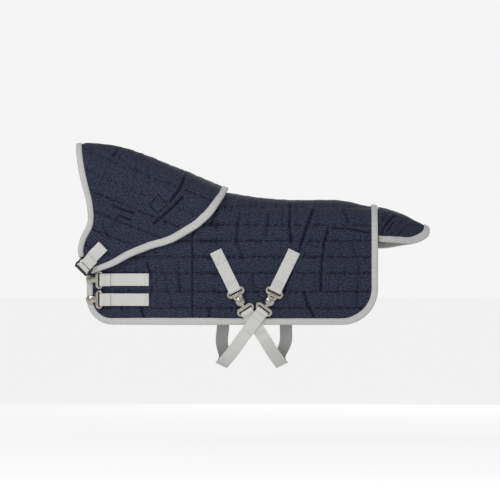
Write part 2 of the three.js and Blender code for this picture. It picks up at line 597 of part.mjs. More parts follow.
// Each elastic leaves its eye, crosses the other one outside the hem, passes under the belly and climbs to a
// sewn end on the off side. The rear one lies on top.
const OVER_BINDING = BINDING_GAP + BINDING + 0.7 + WEBBING / 2;
const NEAR_LENGTH = 35; // straight part of the elastic, to below the crossing
for (const { name, away, tilt, down, lower } of surcingles) {
  const rest = OVER_BINDING + (away > 0 ? WEBBING + 0.8 : 0) - BAR_LIFT;
  const along = (distance) =>
    lower.at.clone().addScaledVector(down, distance).addScaledVector(lower.out, rest * smooth((distance - 2.8) / 4.5));
  const { across } = lower;
  const straight = [EYE_OUTER - 0.4, 4.5, 6, 7.5, NEAR_LENGTH].map((d) => ({ at: along(d), across }));
  sewn[`surcingle_elastic_${name}`] = [joined(band(straight), eyeAt(seatMatrix(lower))), materials.elastic];

  const fold = along(NEAR_LENGTH + 0.9);
  const deepZ = HEM_Z - BELLY_DROP;
  const turnX = fold.x - 1.02 * away * Math.tan(radians(tilt)) * (fold.z - deepZ);
  const lean = away < 0 ? FRONT_ELASTIC_LEAN : 0;
  const offX = turnX + 2 * away + lean;
  const off = (x, rise, lift) => {
    const p = onBody(x, HEM_Z + rise);
    const q = body.at(p.x, p.y, lift);
    return V(q.x, -q.y, q.z);
  };
  const foot = off(offX, 10, OVER_BINDING);
  const curve = new THREE.CatmullRomCurve3(
    [
      fold,
      along(NEAR_LENGTH + 4),
      V(mix(fold.x, turnX, 0.46), 0.84 * fold.y, mix(fold.z, deepZ, 0.5)),
      V(mix(fold.x, turnX, 0.86), 0.52 * fold.y, mix(fold.z, deepZ, 0.88)),
      V(turnX, -0.06 * BODY_HALF_WIDTH, deepZ),
      V(turnX + 4 * away + 0.2 * lean, 0.5 * BODY_HALF_WIDTH, deepZ + 8),
      V(offX - 1.5 * away - 0.25 * lean, 0.9 * foot.y, HEM_Z - 22),
      V(offX, foot.y, HEM_Z - 4),
      foot,
      off(offX, 17, OVER_BINDING - 0.7),
      off(offX + 3 * away, 36, STRAP_GAP + WEBBING / 2),
    ],
    false,
    "centripetal",
  );
  const low = V(0.9, 0, -0.4 * away).multiplyScalar(Math.sign(across.x));
  const upright = V(Math.sign(across.x), 0, 0);
  const under = spread(18, (t) => {
    const lean = across.clone().lerp(low, smooth(t / 0.5)).lerp(upright, smooth((t - 0.5) / 0.3));
    const tangent = curve.getTangent(t);
    return { at: curve.getPoint(t), across: lean.addScaledVector(tangent, -lean.dot(tangent)).normalize() };
  });
  sewn[`surcingle_underband_${name}`] = [band(under), materials.elastic];
}

// ---- Throat: a tab from the near side through a slide held by a loop that comes round from the off side ----
// The corner of each neck side is cut off square to the tab; the slide lies just outside the cut.
const climb = [Math.cos(radians(SLIDE_TILT)), Math.sin(radians(SLIDE_TILT))];
const SLIDE_EYE = (SLIDE_BAR / 2) * Math.SQRT2 + 0.3;
const SLIDE_EYE_OUTER = SLIDE_EYE + WEBBING + 0.1;
const CUT_GAP = SLIDE_EYE_OUTER - 1.6; // middle bar outside the cut corner
const rearBar = SLIDE_BAR + SLIDE_REAR_WINDOW; // its axis behind the middle bar's
const cut = neckFront.at(-1).clone().add(neckBack.at(-1)).multiplyScalar(0.5);
const cutZ = body.crest(cut.x) - (cut.y - (CREST_ROUND * Math.PI) / 2 + CREST_ROUND);
const overNeck = (d, above) => {
  const [x, z] = [cut.x + climb[0] * (d - CUT_GAP), cutZ + climb[1] * (d - CUT_GAP)];
  const p = onBody(x, z);
  return seat(x, z, climb[0], climb[1], neckOuter(p) + above);
};
const slideFrame = overNeck(0, BINDING_GAP + BINDING + 2 + SLIDE_EYE_OUTER);
const inSlide = (x, y, z) =>
  slideFrame.at.clone().addScaledVector(slideFrame.run, x).addScaledVector(slideFrame.across, y).addScaledVector(slideFrame.out, z);
function slide() {
  const { Manifold } = wasm;
  const between = (from, to, length, height) => Manifold.cube([to - from, length, height], true).translate([(from + to) / 2, 0, 0]);
  const half = SLIDE_BAR / 2;
  const front = half + SLIDE_FRONT_WINDOW;
  return between(-front - SLIDE_BAR, rearBar + half, SLIDE_LENGTH, SLIDE_BAR)
    .subtract(between(-front, -half, SLOT_LENGTH, 2 * SLIDE_BAR))
    .subtract(between(half, rearBar - half, SLOT_LENGTH, 2 * SLIDE_BAR));
}
const slideEye = (x) => {
  const { Manifold } = wasm;
  const tube = (r, length) => Manifold.cylinder(length, r, r, 16, true).rotate([90, 0, 0]).translate([x, 0, 0]);
  return asGeometry(tube(SLIDE_EYE_OUTER, STRAP_WIDTH - 0.2).subtract(tube(SLIDE_EYE, STRAP_WIDTH + 2))).applyMatrix4(seatMatrix(slideFrame));
};
sewn.throat_slide = [plateAt(slide, seatMatrix(slideFrame)), materials.plastic];

const eyeLevel = WEBBING / 2 - SLIDE_EYE_OUTER;
const PATCH_LIFT = 1.6; // hook patch above the neck cover's smooth outer face
const tabPath = spread(5, (t) => {
  const d = rearBar + t * THROAT_TAB_LENGTH;
  const resting = overNeck(d, PATCH_LIFT + PATCH + 0.8 + WEBBING / 2);
  const settled = smooth(t / 0.45);
  return {
    at: inSlide(d, 0, eyeLevel).lerp(resting.at, settled),
    across: slideFrame.across.clone().lerp(resting.across, settled).normalize(),
  };
});
sewn.throat_tab = [joined(band(tabPath), slideEye(rearBar)), materials.webbing];
const patchPath = spread(2, (t) => overNeck(rearBar + THROAT_TAB_LENGTH - mix(12, 1.5, t), PATCH_LIFT + PATCH / 2));
sewn.throat_hook_patch = [band(patchPath, STRAP_WIDTH - 2, PATCH), materials.shell];

const flip = (p) => V(p.x, -p.y, p.z);
const loopX = -SLIDE_EYE_OUTER + WEBBING / 2;
const offNeck = (d, above) => flip(overNeck(d, above).at);
const loopCurve = new THREE.CatmullRomCurve3(
  [
    inSlide(loopX, 0, 0),
    inSlide(loopX, 0, -SLIDE_EYE_OUTER),
    flip(inSlide(loopX, 0, -SLIDE_EYE_OUTER - 2)),
    offNeck(loopX, 0.2),
    offNeck(loopX + 0.9, 1.9),
    offNeck(3.5, 2.7),
    offNeck(9, 3),
    offNeck(24, 2.4),
  ],
  false,
  "centripetal",
);
const loopPath = spread(20, (t) => ({ at: loopCurve.getPoint(t), across: slideFrame.across }));
sewn.throat_loop = [joined(band(loopPath), slideEye(0)), materials.webbing];

const rug = new THREE.Group();
rug.name = "quilted_pony_rug";
for (const [name, [geometry, mat]] of Object.entries(sewn)) {
  const mesh = new THREE.Mesh(geometry, mat);
  mesh.name = name;
  rug.add(mesh);
}
export default rug;
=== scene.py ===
"""A quilted pony rug with a neck cover and a tail flap, in its worn shape, dressed over its CAD frame.

Lengths inside the shape functions are millimetres; meshes are written in metres. x runs to the tail, -y is
the near side, z is up, and the origin is on the inner face of the back seam.
"""

import math

import bmesh
import bpy
import numpy as np
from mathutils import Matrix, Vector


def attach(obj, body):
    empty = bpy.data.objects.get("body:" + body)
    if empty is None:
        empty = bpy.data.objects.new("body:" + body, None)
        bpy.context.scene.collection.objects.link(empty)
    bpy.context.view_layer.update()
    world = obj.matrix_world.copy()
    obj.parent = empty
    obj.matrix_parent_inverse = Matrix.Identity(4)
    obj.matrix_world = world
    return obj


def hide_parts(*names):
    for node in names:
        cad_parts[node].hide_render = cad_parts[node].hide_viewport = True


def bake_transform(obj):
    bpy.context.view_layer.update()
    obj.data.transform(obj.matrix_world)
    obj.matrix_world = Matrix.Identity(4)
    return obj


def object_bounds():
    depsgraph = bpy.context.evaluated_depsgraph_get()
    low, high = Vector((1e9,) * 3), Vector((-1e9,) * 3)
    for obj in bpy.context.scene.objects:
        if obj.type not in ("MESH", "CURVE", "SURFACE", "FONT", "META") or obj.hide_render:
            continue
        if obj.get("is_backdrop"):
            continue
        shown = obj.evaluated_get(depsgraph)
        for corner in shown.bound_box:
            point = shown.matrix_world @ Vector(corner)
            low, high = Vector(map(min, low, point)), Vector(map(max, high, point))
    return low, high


bl_info = {
    "name": "Quilted Pony Rug",
    "version": (1, 0, 0),
    "blender": (4, 5, 0),
    "location": "3D View > Sidebar > Pony Rug",
    "description": "Builds a quilted pony rug with its bindings, webbing and clips",
    "category": "Add Mesh",
}

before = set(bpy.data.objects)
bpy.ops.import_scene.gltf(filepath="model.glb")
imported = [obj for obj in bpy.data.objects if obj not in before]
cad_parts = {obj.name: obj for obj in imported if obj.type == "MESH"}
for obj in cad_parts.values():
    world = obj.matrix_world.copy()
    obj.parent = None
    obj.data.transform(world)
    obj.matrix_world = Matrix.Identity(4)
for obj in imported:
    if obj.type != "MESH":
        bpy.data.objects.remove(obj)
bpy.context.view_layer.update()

MM = 0.001
SEAM = 0.15  # half the gap along the back seam

# ---- The worn form, as the CAD frame has it ----
BACK, SHOULDER, DROP, HALF = 182.0, 168.0, 149.5, 56.0
NECK_REACH, NECK_RISE, NECK_HALF, THROAT_RISE = 181.0, 53.0, 27.0, 62.5
TAIL_LENGTH, TAIL_HALF, TAIL_DROP = 61.0, 38.0, 41.0
ROUND, FRONT_CORNER, REAR_CORNER = 45.0, 30.0, 42.0
THICK, EDGE_THICK = 4.0, 2.2
NECK_CLEAR, THROAT_FLARE, OVERLAP = 3.0, 4.0, 12.0
TAPE_GAP, TAPE = 0.8, 0.6
STRAP, WEB, STRAP_GAP = 15.0, 1.1, 0.5
BAR_LIFT, CLIP_REACH, EYE = 3.526, 15.5, 2.426
WITHERS, REAR = -BACK / 2, BACK / 2
CHEST, POLL = WITHERS - SHOULDER, WITHERS - NECK_REACH
HEM = THICK - DROP
THROAT = HEM + THROAT_RISE
CHEST_HALF = EDGE_THICK + TAPE + TAPE_GAP + 1.5


def smooth(t):
    """Rises from 0 to 1 as 3t^2 - 2t^3, flat at both ends."""
    t = np.clip(t, 0, 1)
    return t * t * (3 - 2 * t)


def mix(a, b, t):
    return a + (b - a) * t


def height_line(points):
    """A height over x: a cubic between points with the mean slope at each, straight beyond the ends."""
    xs, zs = np.array(points, float).T
    slopes = np.gradient(zs, xs, edge_order=1)
    wide = (zs[2:] - zs[:-2]) / (xs[2:] - xs[:-2])
    slopes[1:-1] = wide

    def height(x):
        x = np.asarray(x, float)
        i = np.clip(np.searchsorted(xs, x, side="right") - 1, 0, len(xs) - 2)
        span = xs[i + 1] - xs[i]
        t = np.clip((x - xs[i]) / span, 0, 1)
        bow = span * t * (1 - t) * (slopes[i] * (1 - t) - slopes[i + 1] * t)
        rise = mix(zs[i], zs[i + 1], smooth(t)) + bow
        return rise + np.minimum(x - xs[0], 0) * slopes[0] + np.maximum(x - xs[-1], 0) * slopes[-1]

    return height


class Skin:
    """A surface over x and the distance a round it from the crest: a quarter ellipse, then upright."""

    def __init__(self, crest, width, round_):
        self.crest, self.width, self.round = crest, width, round_
        self.quarter = round_ * math.pi / 2

    def depth(self, a):
        turn = np.minimum(np.abs(a) / self.round, math.pi / 2)
        return self.round * (1 - np.cos(turn)) + np.maximum(np.abs(a) - self.quarter, 0)

    def point(self, x, a):
        turn = np.minimum(np.abs(a) / self.round, math.pi / 2)
        z = self.crest(x) - self.depth(a)
        return np.stack([x + 0 * a, -np.sign(a) * self.width(x, z) * np.sin(turn), z], -1)

    def normal(self, x, a, step=0.05):
        along = self.point(x + step, a) - self.point(x - step, a)
        around = self.point(x, a + step) - self.point(x, a - step)
        n = np.cross(around, along)
        return n / np.linalg.norm(n, axis=-1, keepdims=True)

    def around(self, x, z):
        depth = np.maximum(self.crest(x) - z, 0)
        upper = self.round * np.arccos(np.clip(1 - depth / self.round, -1, 1))
        return np.where(depth < self.round, upper, self.quarter + depth - self.round)

    def at(self, x, a, lift=0.0, seam=SEAM):
        x, a = np.broadcast_arrays(np.asarray(x, float), np.asarray(a, float))
        p = self.point(x, a) + self.normal(x, a) * np.asarray(lift, float)[..., None]
        p[..., 1] -= seam
        return p


def back_point(share, rise):
    return WITHERS + share * BACK, THICK + rise


def neck_point(share, rise):
    return WITHERS - share * NECK_REACH, THICK + 9 + rise * NECK_RISE


body_crest = height_line([
    neck_point(1, 1.01), neck_point(0.9, 1), neck_point(0.7, 0.91), neck_point(0.51, 0.7),
    neck_point(0.4, 0.54), neck_point(0.26, 0.355), neck_point(0.13, 0.16), neck_point(0.03, 0.03),
    back_point(0.06, 7.2), back_point(0.22, 2.7), back_point(0.43, 0), back_point(0.72, 0),
    back_point(0.81, -1.7), back_point(0.92, -5.6), back_point(1, -7.6),
])


def plan_width(x):
    """Half width in plan: a bow that opens backwards from the chest and draws in at the rump."""
    share = (x - CHEST) / (0.97 * SHOULDER)
    soft = 0.08
    t = np.clip(np.where(share > soft, share, np.maximum(share + soft, 0) ** 2 / (4 * soft)), 0, 1)
    rump = 1 - 0.17 * smooth((x - 0.05 * BACK) / (0.45 * BACK))
    return mix(CHEST_HALF, HALF, 1 - (1 - t) ** 1.7) * rump


def body_width(x, z):
    neck = mix(NECK_HALF, plan_width(x), smooth((x - POLL) / (0.92 * NECK_REACH)))
    tuck = 1 - 0.05 * smooth((-z - 0.45 * DROP) / (0.55 * DROP))
    return mix(plan_width(x), neck, smooth((z - THROAT + 22) / 115)) * tuck


body = Skin(body_crest, body_width, ROUND)
neck_rear = height_line([
    (CHEST + 8, THROAT), (CHEST + 17, THROAT + 0.3), (CHEST + 24, THROAT + 2.8), (CHEST + 39, THROAT + 12),
    (CHEST + 55, THROAT + 20), (CHEST + 78, THROAT + 29), (CHEST + 106, THROAT + 38),
    (CHEST + 130.5, THROAT + 52.5), (WITHERS - 17.5, THROAT + 70), (WITHERS - 8.3, THROAT + 83),
    (WITHERS, float(body_crest(WITHERS))),
])


def neckline(x):
    return np.minimum(neck_rear(x + 0.45 * OVERLAP) + OVERLAP, body_crest(x))


def corner_drop(radius, inside):
    return radius - np.sqrt(np.maximum(radius**2 - np.maximum(inside, 0) ** 2, 0))


def hemline(x):
    front = corner_drop(FRONT_CORNER, CHEST + FRONT_CORNER - x)
    return HEM + front + corner_drop(REAR_CORNER, x - REAR + REAR_CORNER)


def filling(distance):
    return mix(0.4, 2.2, smooth(distance / 13))


def quilt_depth(fill):
    return 1.8 + fill


def on_body(x, z):
    return np.stack([x + 0 * z, body.around(x, z)], -1)


def between(p, q, start, end, s):
    """The point at s on the straight line that is at p when s is start and at q when s is end."""
    return (end - s) / (end - start) * p + (s - start) / (end - start) * q


def through(points, count):
    """A centripetal Catmull-Rom curve through the points, sampled at count even steps of its length."""
    p = np.asarray(points, float)
    p = np.vstack([2 * p[0] - p[1], p, 2 * p[-1] - p[-2]])
    t = np.concatenate([[0], np.cumsum(np.linalg.norm(np.diff(p, axis=0), axis=1) ** 0.5)])
    dense = []
    for i in range(1, len(p) - 2):
        s = np.linspace(t[i], t[i + 1], 40, endpoint=i == len(p) - 3)[:, None]
        low = between(p[i - 1], p[i], t[i - 1], t[i], s)
        middle = between(p[i], p[i + 1], t[i], t[i + 1], s)
        high = between(p[i + 1], p[i + 2], t[i + 1], t[i + 2], s)
        low, high = between(low, middle, t[i - 1], t[i + 1], s), between(middle, high, t[i], t[i + 2], s)
        dense.append(between(low, high, t[i], t[i + 1], s))
    return even(np.vstack(dense), count)


def lengths(points):
    """The length of a polyline up to each of its points."""
    return np.concatenate([[0], np.cumsum(np.linalg.norm(np.diff(points, axis=0), axis=1))])


def even(points, count):
    """The same polyline with its points at even steps of its length."""
    length = lengths(points)
    s = np.linspace(0, length[-1], count)
    return np.stack([np.interp(s, length, points[:, k]) for k in range(points.shape[1])], -1)


# ---- Neck cover's outline ----
ABOVE = 1e3  # any height over the crest
NECK_FRONT = np.array([
    on_body(np.float64(POLL + back), np.float64(THROAT + rise))
    for back, rise in [
        (0, ABOVE), (0, 147), (0.6, 140), (2.4, 128), (4.6, 117), (7.5, 105), (13.4, 81), (14.2, 60),
        (6.2, 43), (2.8, 30), (4, 20),
    ]
])
NECK_BACK = np.array([
    on_body(np.float64(mix(WITHERS, CHEST + 8, s)),
            np.float64(ABOVE) if s == 0 else neck_rear(mix(WITHERS, CHEST + 8, s)))
    for s in [0, 0.02, 0.05, 0.11, 0.17, 0.235, 0.39, 0.56, 0.71, 0.84, 1]
])


def spline(points, v):
    """A uniform Catmull-Rom curve through the points, at the parameters v counted in points."""
    p = np.vstack([2 * points[0] - points[1], points, 2 * points[-1] - points[-2]])
    i = np.clip(np.floor(v).astype(int), 0, len(points) - 2)
    t = (np.asarray(v) - i)[..., None]
    a, b, c, d = p[i], p[i + 1], p[i + 2], p[i + 3]
    return 0.5 * (2 * b + (c - a) * t + (2 * a - 5 * b + 4 * c - d) * t**2 + (3 * b - a - 3 * c + d) * t**3)


def to_edge(x, a, edge):
    """Distance in the cloth from (x, a) to the nearest point of a polyline."""
    best = np.full(np.broadcast(x, a).shape, 1e9)
    for p, q in zip(edge[:-1], edge[1:]):
        run = q - p
        share = np.clip(((x - p[0]) * run[0] + (a - p[1]) * run[1]) / (run @ run), 0, 1)
        best = np.minimum(best, np.hypot(x - p[0] - share * run[0], a - p[1] - share * run[1]))
    return best


NECK_KNOTS = len(NECK_FRONT) - 1
FRONT_EDGE = spline(NECK_FRONT, np.linspace(0, NECK_KNOTS, 81))
BACK_EDGE = spline(NECK_BACK, np.linspace(0, NECK_KNOTS, 81))


def neck_inner(x, a):
    z = body.crest(x) - np.maximum(a - body.quarter + ROUND, 0)
    return NECK_CLEAR + THROAT_FLARE * smooth((THROAT + 54 - z) / 50) * smooth((CHEST + 70 - x) / 47)


def neck_fill(x, a):
    return filling(np.minimum(to_edge(x, a, FRONT_EDGE), to_edge(x, a, BACK_EDGE)))


def neck_outer(x, a):
    return neck_inner(x, a) + quilt_depth(neck_fill(x, a))


# ---- Tail flap ----
TAIL_X = REAR + TAPE + TAPE_GAP + 1
TAIL_TIP = TAIL_X + TAIL_LENGTH
TAIL_ROUND, OFF_SAG = 24.0, 8.0
REAR_TOP = float(body_crest(REAR))
tail_crest = height_line([
    (TAIL_X + s * TAIL_LENGTH, REAR_TOP - d)
    for s, d in [(0, 0.6), (0.18, 2.6), (0.58, 12), (0.9, 22.5), (1, 26.5)]
])


def tail_width(x, z):
    return mix(TAIL_HALF, 0.4 * TAIL_HALF, smooth((x - TAIL_X) / TAIL_LENGTH))


tail = Skin(tail_crest, tail_width, TAIL_ROUND)


def tail_hem(x, side):
    t = np.clip((x - TAIL_X) / TAIL_LENGTH, 0, 1)
    sag = OFF_SAG * (1 - smooth(1.3 * t)) * (np.asarray(side) < 0)
    low = float(tail_crest(TAIL_X)) - TAIL_DROP - 4 * t - sag
    rounding = np.sqrt(np.maximum(1 - np.clip((t - 0.6) / 0.4, 0, 1) ** 2, 0))
    return side * tail.around(x, mix(tail_crest(x) - 3, low, rounding))


# ---- Meshes ----
def linked(name, data):
    """A new object in the scene."""
    obj = bpy.data.objects.new(name, data)
    bpy.context.scene.collection.objects.link(obj)
    return obj


def make_mesh(name, points, faces, uv=None, material_index=None):
    """One smooth-shaded mesh object from points in millimetres, faces, and per-vertex UVs in metres."""
    mesh = bpy.data.meshes.new(name)
    mesh.from_pydata((np.asarray(points) * MM).tolist(), [], [tuple(f) for f in faces])
    if uv is not None:
        layer = mesh.uv_layers.new(name="cloth")
        loops = np.empty(len(mesh.loops), np.int32)
        mesh.loops.foreach_get("vertex_index", loops)
        layer.data.foreach_set("uv", np.asarray(uv, np.float32)[loops].ravel())
    if material_index is not None:
        mesh.polygons.foreach_set("material_index", np.asarray(material_index, np.int32))
    mesh.polygons.foreach_set("use_smooth", np.ones(len(mesh.polygons), bool))
    mesh.update()
    return linked(name, mesh)


def mirror(points):
    return np.asarray(points) * np.array([1, -1, 1])


def grid_faces(n, m, start=0, flip=False, wrap=False):
    i, j = np.meshgrid(np.arange(n - 1), np.arange(m if wrap else m - 1), indexing="ij")
    k = (j + 1) % m
    quads = np.stack([i * m + j, (i + 1) * m + j, (i + 1) * m + k, i * m + k], -1).reshape(-1, 4) + start
    return quads[:, ::-1] if flip else quads


def quilt_solid(outer, inner, flip=False):
    """Points, faces and slots of a closed quilt: outer grid, inner grid, and a strip round the rim."""
    n, m = outer.shape[:2]
    points = np.concatenate([outer.reshape(-1, 3), inner.reshape(-1, 3)])
    top, low = grid_faces(n, m, 0, True), grid_faces(n, m, n * m, False)
    index = np.arange(n * m).reshape(n, m)
    rim = np.concatenate([index[:, 0], index[-1, 1:], index[-2::-1, -1], index[0, -2:0:-1]])
    nxt = np.roll(rim, -1)
    side = np.stack([rim, nxt, nxt + n * m, rim + n * m], -1)
    faces = np.concatenate([top, low, side])
    slots = np.concatenate([np.zeros(len(top)), np.ones(len(low)), np.zeros(len(side))]).astype(int)
    return points, faces[:, ::-1] if flip else faces, slots


def tube_solid(rings, flip=False):
    """Points and faces of a closed bar: rings of points joined in order, each end filled by a fan."""
    n, m = rings.shape[:2]
    faces = grid_faces(n, m, 0, flip, wrap=True).tolist()
    points = np.concatenate([rings.reshape(-1, 3), rings[0].mean(0)[None], rings[-1].mean(0)[None]])
    for k in range(m):
        a, b = k, (k + 1) % m
        first, last = (n * m, a, b), (n * m + 1, (n - 1) * m + b, (n - 1) * m + a)
        faces += [first[::-1], last[::-1]] if flip else [first, last]
    return points, faces


def face_outwards(obj):
    """Turns a closed mesh's faces outwards by the sign of its volume."""
    mesh = obj.data
    mesh.calc_loop_triangles()
    co = np.empty(len(mesh.vertices) * 3)
    mesh.vertices.foreach_get("co", co)
    co = co.reshape(-1, 3)
    tri = np.empty(len(mesh.loop_triangles) * 3, np.int32)
    mesh.loop_triangles.foreach_get("vertices", tri)
    a, b, c = co[tri.reshape(-1, 3)].transpose(1, 0, 2)
    if np.einsum("ij,ij->", a, np.cross(b, c)) < 0:
        mesh.flip_normals()


def band(name, path, across, width=STRAP, thick=WEB, ends_round=0.35):
    """A flat webbing band: a rounded oblong carried along a path, its width in the direction across."""
    across = np.broadcast_to(np.asarray(across, float), path.shape)
    run = np.gradient(path, axis=0)
    run /= np.linalg.norm(run, axis=1, keepdims=True)
    across = across - run * (across * run).sum(1, keepdims=True)
    across = across / np.linalg.norm(across, axis=1, keepdims=True)
    out = np.cross(run, across)
    w, t, r = width / 2, thick / 2, thick * ends_round
    ws = np.concatenate([np.linspace(-w + r, w - r, 7), [w - 0.3 * r, w, w, w - 0.3 * r],
                         np.linspace(w - r, -w + r, 7),
                         [-w + 0.3 * r, -w, -w, -w + 0.3 * r]])
    ts = np.concatenate([[t] * 7, [t - 0.25 * r, t - r, -t + r, -t + 0.25 * r], [-t] * 7,
                         [-t + 0.25 * r, -t + r, t - r, t - 0.25 * r]])
    rings = path[:, None] + across[:, None] * ws[None, :, None] + out[:, None] * ts[None, :, None]
    points, faces = tube_solid(rings)
    s = np.repeat(lengths(path), len(ws))
    uv = np.stack([s, np.tile(ws, len(path))], -1)
    uv = np.vstack([uv, [[0, 0], [s[-1], 0]]]) * MM
    obj = make_mesh(name, points, faces, uv)
    face_outwards(obj)
    return obj


# ---- Cloth relief ----
# Heights of the body's quilting lines, top to bottom; the first and the last are out of sight
QUILT_LINES = [20.0, -3.6, -26.0, -45.6, -65.0, -84.6, -107.0, -126.7, -147.5]


def nearest(x, z, line):
    """Distance in side view from (x, z) to a polyline."""
    return to_edge(x, z, np.asarray(line, float))


def ripple(t, seed):
    """An uneven wave along t: five sines of unlike lengths between 5 and 17 mm, added up, from -1 to 1."""
    rng = np.random.default_rng(seed)
    waves = zip(rng.uniform(5, 17, 5), rng.uniform(0, 2 * math.pi, 5))
    return sum(np.sin(2 * math.pi * t / length + phase) for length, phase in waves) / 3.2


def channel(phase):
    """A quilted channel's rise over its stitch lines: 0 on a line and 1 at the crown between two."""
    return np.abs(np.sin(math.pi * phase)) ** 0.6


def pinch(distance, reach):
    return np.exp(-((distance / reach) ** 2))


def crease(x, z, line, depth, reach):
    """A fold: a groove along the line, with a lower swell on each side of it."""
    d = nearest(x, z, line)
    wide = 1.35 * reach
    return depth * (-1.25 * pinch(d, wide) + 0.5 * pinch(d - 2.1 * wide, 1.2 * wide))


def edge_fade(distance):
    """0 along a bound edge and 1 from a little inside the tape."""
    return smooth((distance - 2) / 8)


BODY_CREASES = [
    ([(-13.9, -3), (-14.5, -26), (-12.7, -46.8)], 1.5, 1.3),
    ([(13.9, -8), (8, -24), (-3, -56.5), (-13, -84), (-21.2, -106)], 1.6, 1.4),
    ([(32, -29.9), (27, -50), (24, -75), (23.6, -104.9)], 1.2, 1.3),
    ([(36.9, -29.9), (58, -31), (81.7, -35.7)], 1.2, 1.3),
    ([(3, -108.5), (7, -122), (15.1, -137.6)], 0.9, 1.5),
    ([(-102, -6.9), (-107, -19), (-110, -26)], 1.4, 1.3), ([(-127, -29.9), (-133.2, -40.8)], 1.4, 1.2),
    ([(-131.9, -42), (-131.5, -90), (-132.2, -137)], 0.8, 0.9), ([(-187, -72.2), (-183.3, -84)], 1.2, 1.1),
    ([(-182.6, -84), (-181.5, -104), (-184, -122)], 0.7, 1.2),
    ([(-194, -126.7), (-190.6, -137.6)], 1.0, 1.3), ([(-112, -128), (-111, -138)], 0.7, 1.5),
    ([(-74, -12), (-79, -40), (-72, -66)], 0.55, 2.2), ([(62, -50), (70, -80), (66, -120)], 0.45, 2.6),
    ([(-150, -70), (-146, -104)], 0.5, 2.2), ([(-40, -14), (-44, -40)], 0.5, 1.8),
    ([(50, -8), (57, -22)], 0.6, 1.6), ([(-60, -90), (-52, -112)], 0.4, 2.4),
    ([(-20, -66), (4, -62), (20, -66)], 0.5, 2.0),
]
STRAP_SHADE = 3.0  # the cloth under a strap is level this far beyond it
ROW_PITCH = 20.5  # between two quilting lines
NECK_SLANT = math.radians(22)
THREAD_LIFT = 0.12  # a thread's middle above the cloth


def body_relief(x, a):
    """How far the shell stands over the CAD face: channels along level stitch lines, folds and puckers."""
    z = body.crest(x) - body.depth(a)
    phase = np.interp(-z, -np.array(QUILT_LINES), np.arange(len(QUILT_LINES)))
    to_line = np.abs(phase - np.round(phase)) * ROW_PITCH
    edge = np.minimum(np.minimum(x - CHEST, REAR - x), body.around(x, hemline(x)) - a)
    rise = -1.75 + 2.3 * channel(phase)
    row = np.round(phase)
    gathers = ripple(x + 9 * row, 3) * pinch(to_line, 4.2) * 0.3
    pucker = gathers + ripple(x * 0.8 - 5 * np.floor(phase), 4) * 0.22
    folds = sum(crease(x, z, line, depth, reach) for line, depth, reach in BODY_CREASES) * smooth(a / 9)
    free = edge_fade(edge)
    rise = mix(-0.1, rise + pucker + folds, free)
    rise = rise + 0.25 * ripple(x + a, 8) * (1 - free) * smooth(edge / 3)
    under = np.maximum(under_straps(x, z), 0)
    rise = np.minimum(rise, mix(0.9, -0.05, under))
    neck = smooth((neckline(x) + 14 - z) / 10)
    return np.clip(mix(np.minimum(rise, 0), rise, neck), -2.3, 1.1)


def under_straps(x, z):
    """1 where a strap lies on the cloth, fading to 0 a little outside it."""
    levels = (CHEST_STRAP, CHEST_STRAP - PITCH)
    chest = [((CHEST_BAR - 4, level), (CHEST_BAR + 58, level)) for level in levels]
    found = np.full(np.shape(x), 0.0)
    for line in [*chest, *TAB_LINES]:
        found = np.maximum(found, 1 - smooth((nearest(x, z, line) - 7.5) / STRAP_SHADE))
    return found


CHEST_BAR = CHEST + CLIP_REACH + 3.2
CHEST_STRAP, PITCH = THROAT - 9.4, 24.2
SURCINGLE = WITHERS + 0.191 * BACK
TAB_TILT = math.radians(26)
ELASTIC_TILTS = {-1: math.radians(33), 1: math.radians(37)}
ELASTIC_LEANS = {-1: 7.0, 1: 0.0}
TAB_SPREAD, TAB_FOOT, TAB_LENGTH, NEAR_LENGTH, BELLY = 49.6, 41.0, 52.0, 35.0, 50.5


def tab_line(away):
    """A surcingle tab's middle line in side view, from under its elastic to beyond its sewn end."""
    foot = np.array([SURCINGLE + away * TAB_SPREAD / 2, HEM + TAB_FOOT])
    slope = np.array([away * math.sin(TAB_TILT), math.cos(TAB_TILT)])
    return foot - slope * 70, foot + slope * (TAB_LENGTH + 2)


TAB_LINES = [tab_line(away) for away in (-1, 1)]

NECK_CREASES = [
    ([(-142, 32.5), (-144, 20), (-150, 9), (-156.5, 1)], 1.5, 1.3),
    ([(-143.5, 4), (-158, -9), (-175.5, -24.5)], 1.7, 1.5), ([(-221, 61), (-228, 54)], 0.9, 1.3),
    ([(-240, 62), (-218, 50), (-196, 36)], 0.7, 1.5), ([(-226, -4), (-214, -8), (-202, -12)], 1.0, 1.6),
    ([(-228, -28), (-220, -15), (-206, -20)], 0.9, 1.5), ([(-200, 48), (-200, 30)], 0.5, 1.8),
    ([(-186, 40), (-184, 22)], 0.5, 1.8), ([(-240, -24), (-232, -42)], 0.7, 1.6),
    ([(-212, 18), (-196, -2)], 0.45, 2.2), ([(-170, -30), (-150, -16)], 0.4, 2.4),
]
BOX, BOX_REACH = (-171.2, -2.0), 11  # the stitched lozenge's centre, and from there to each corner


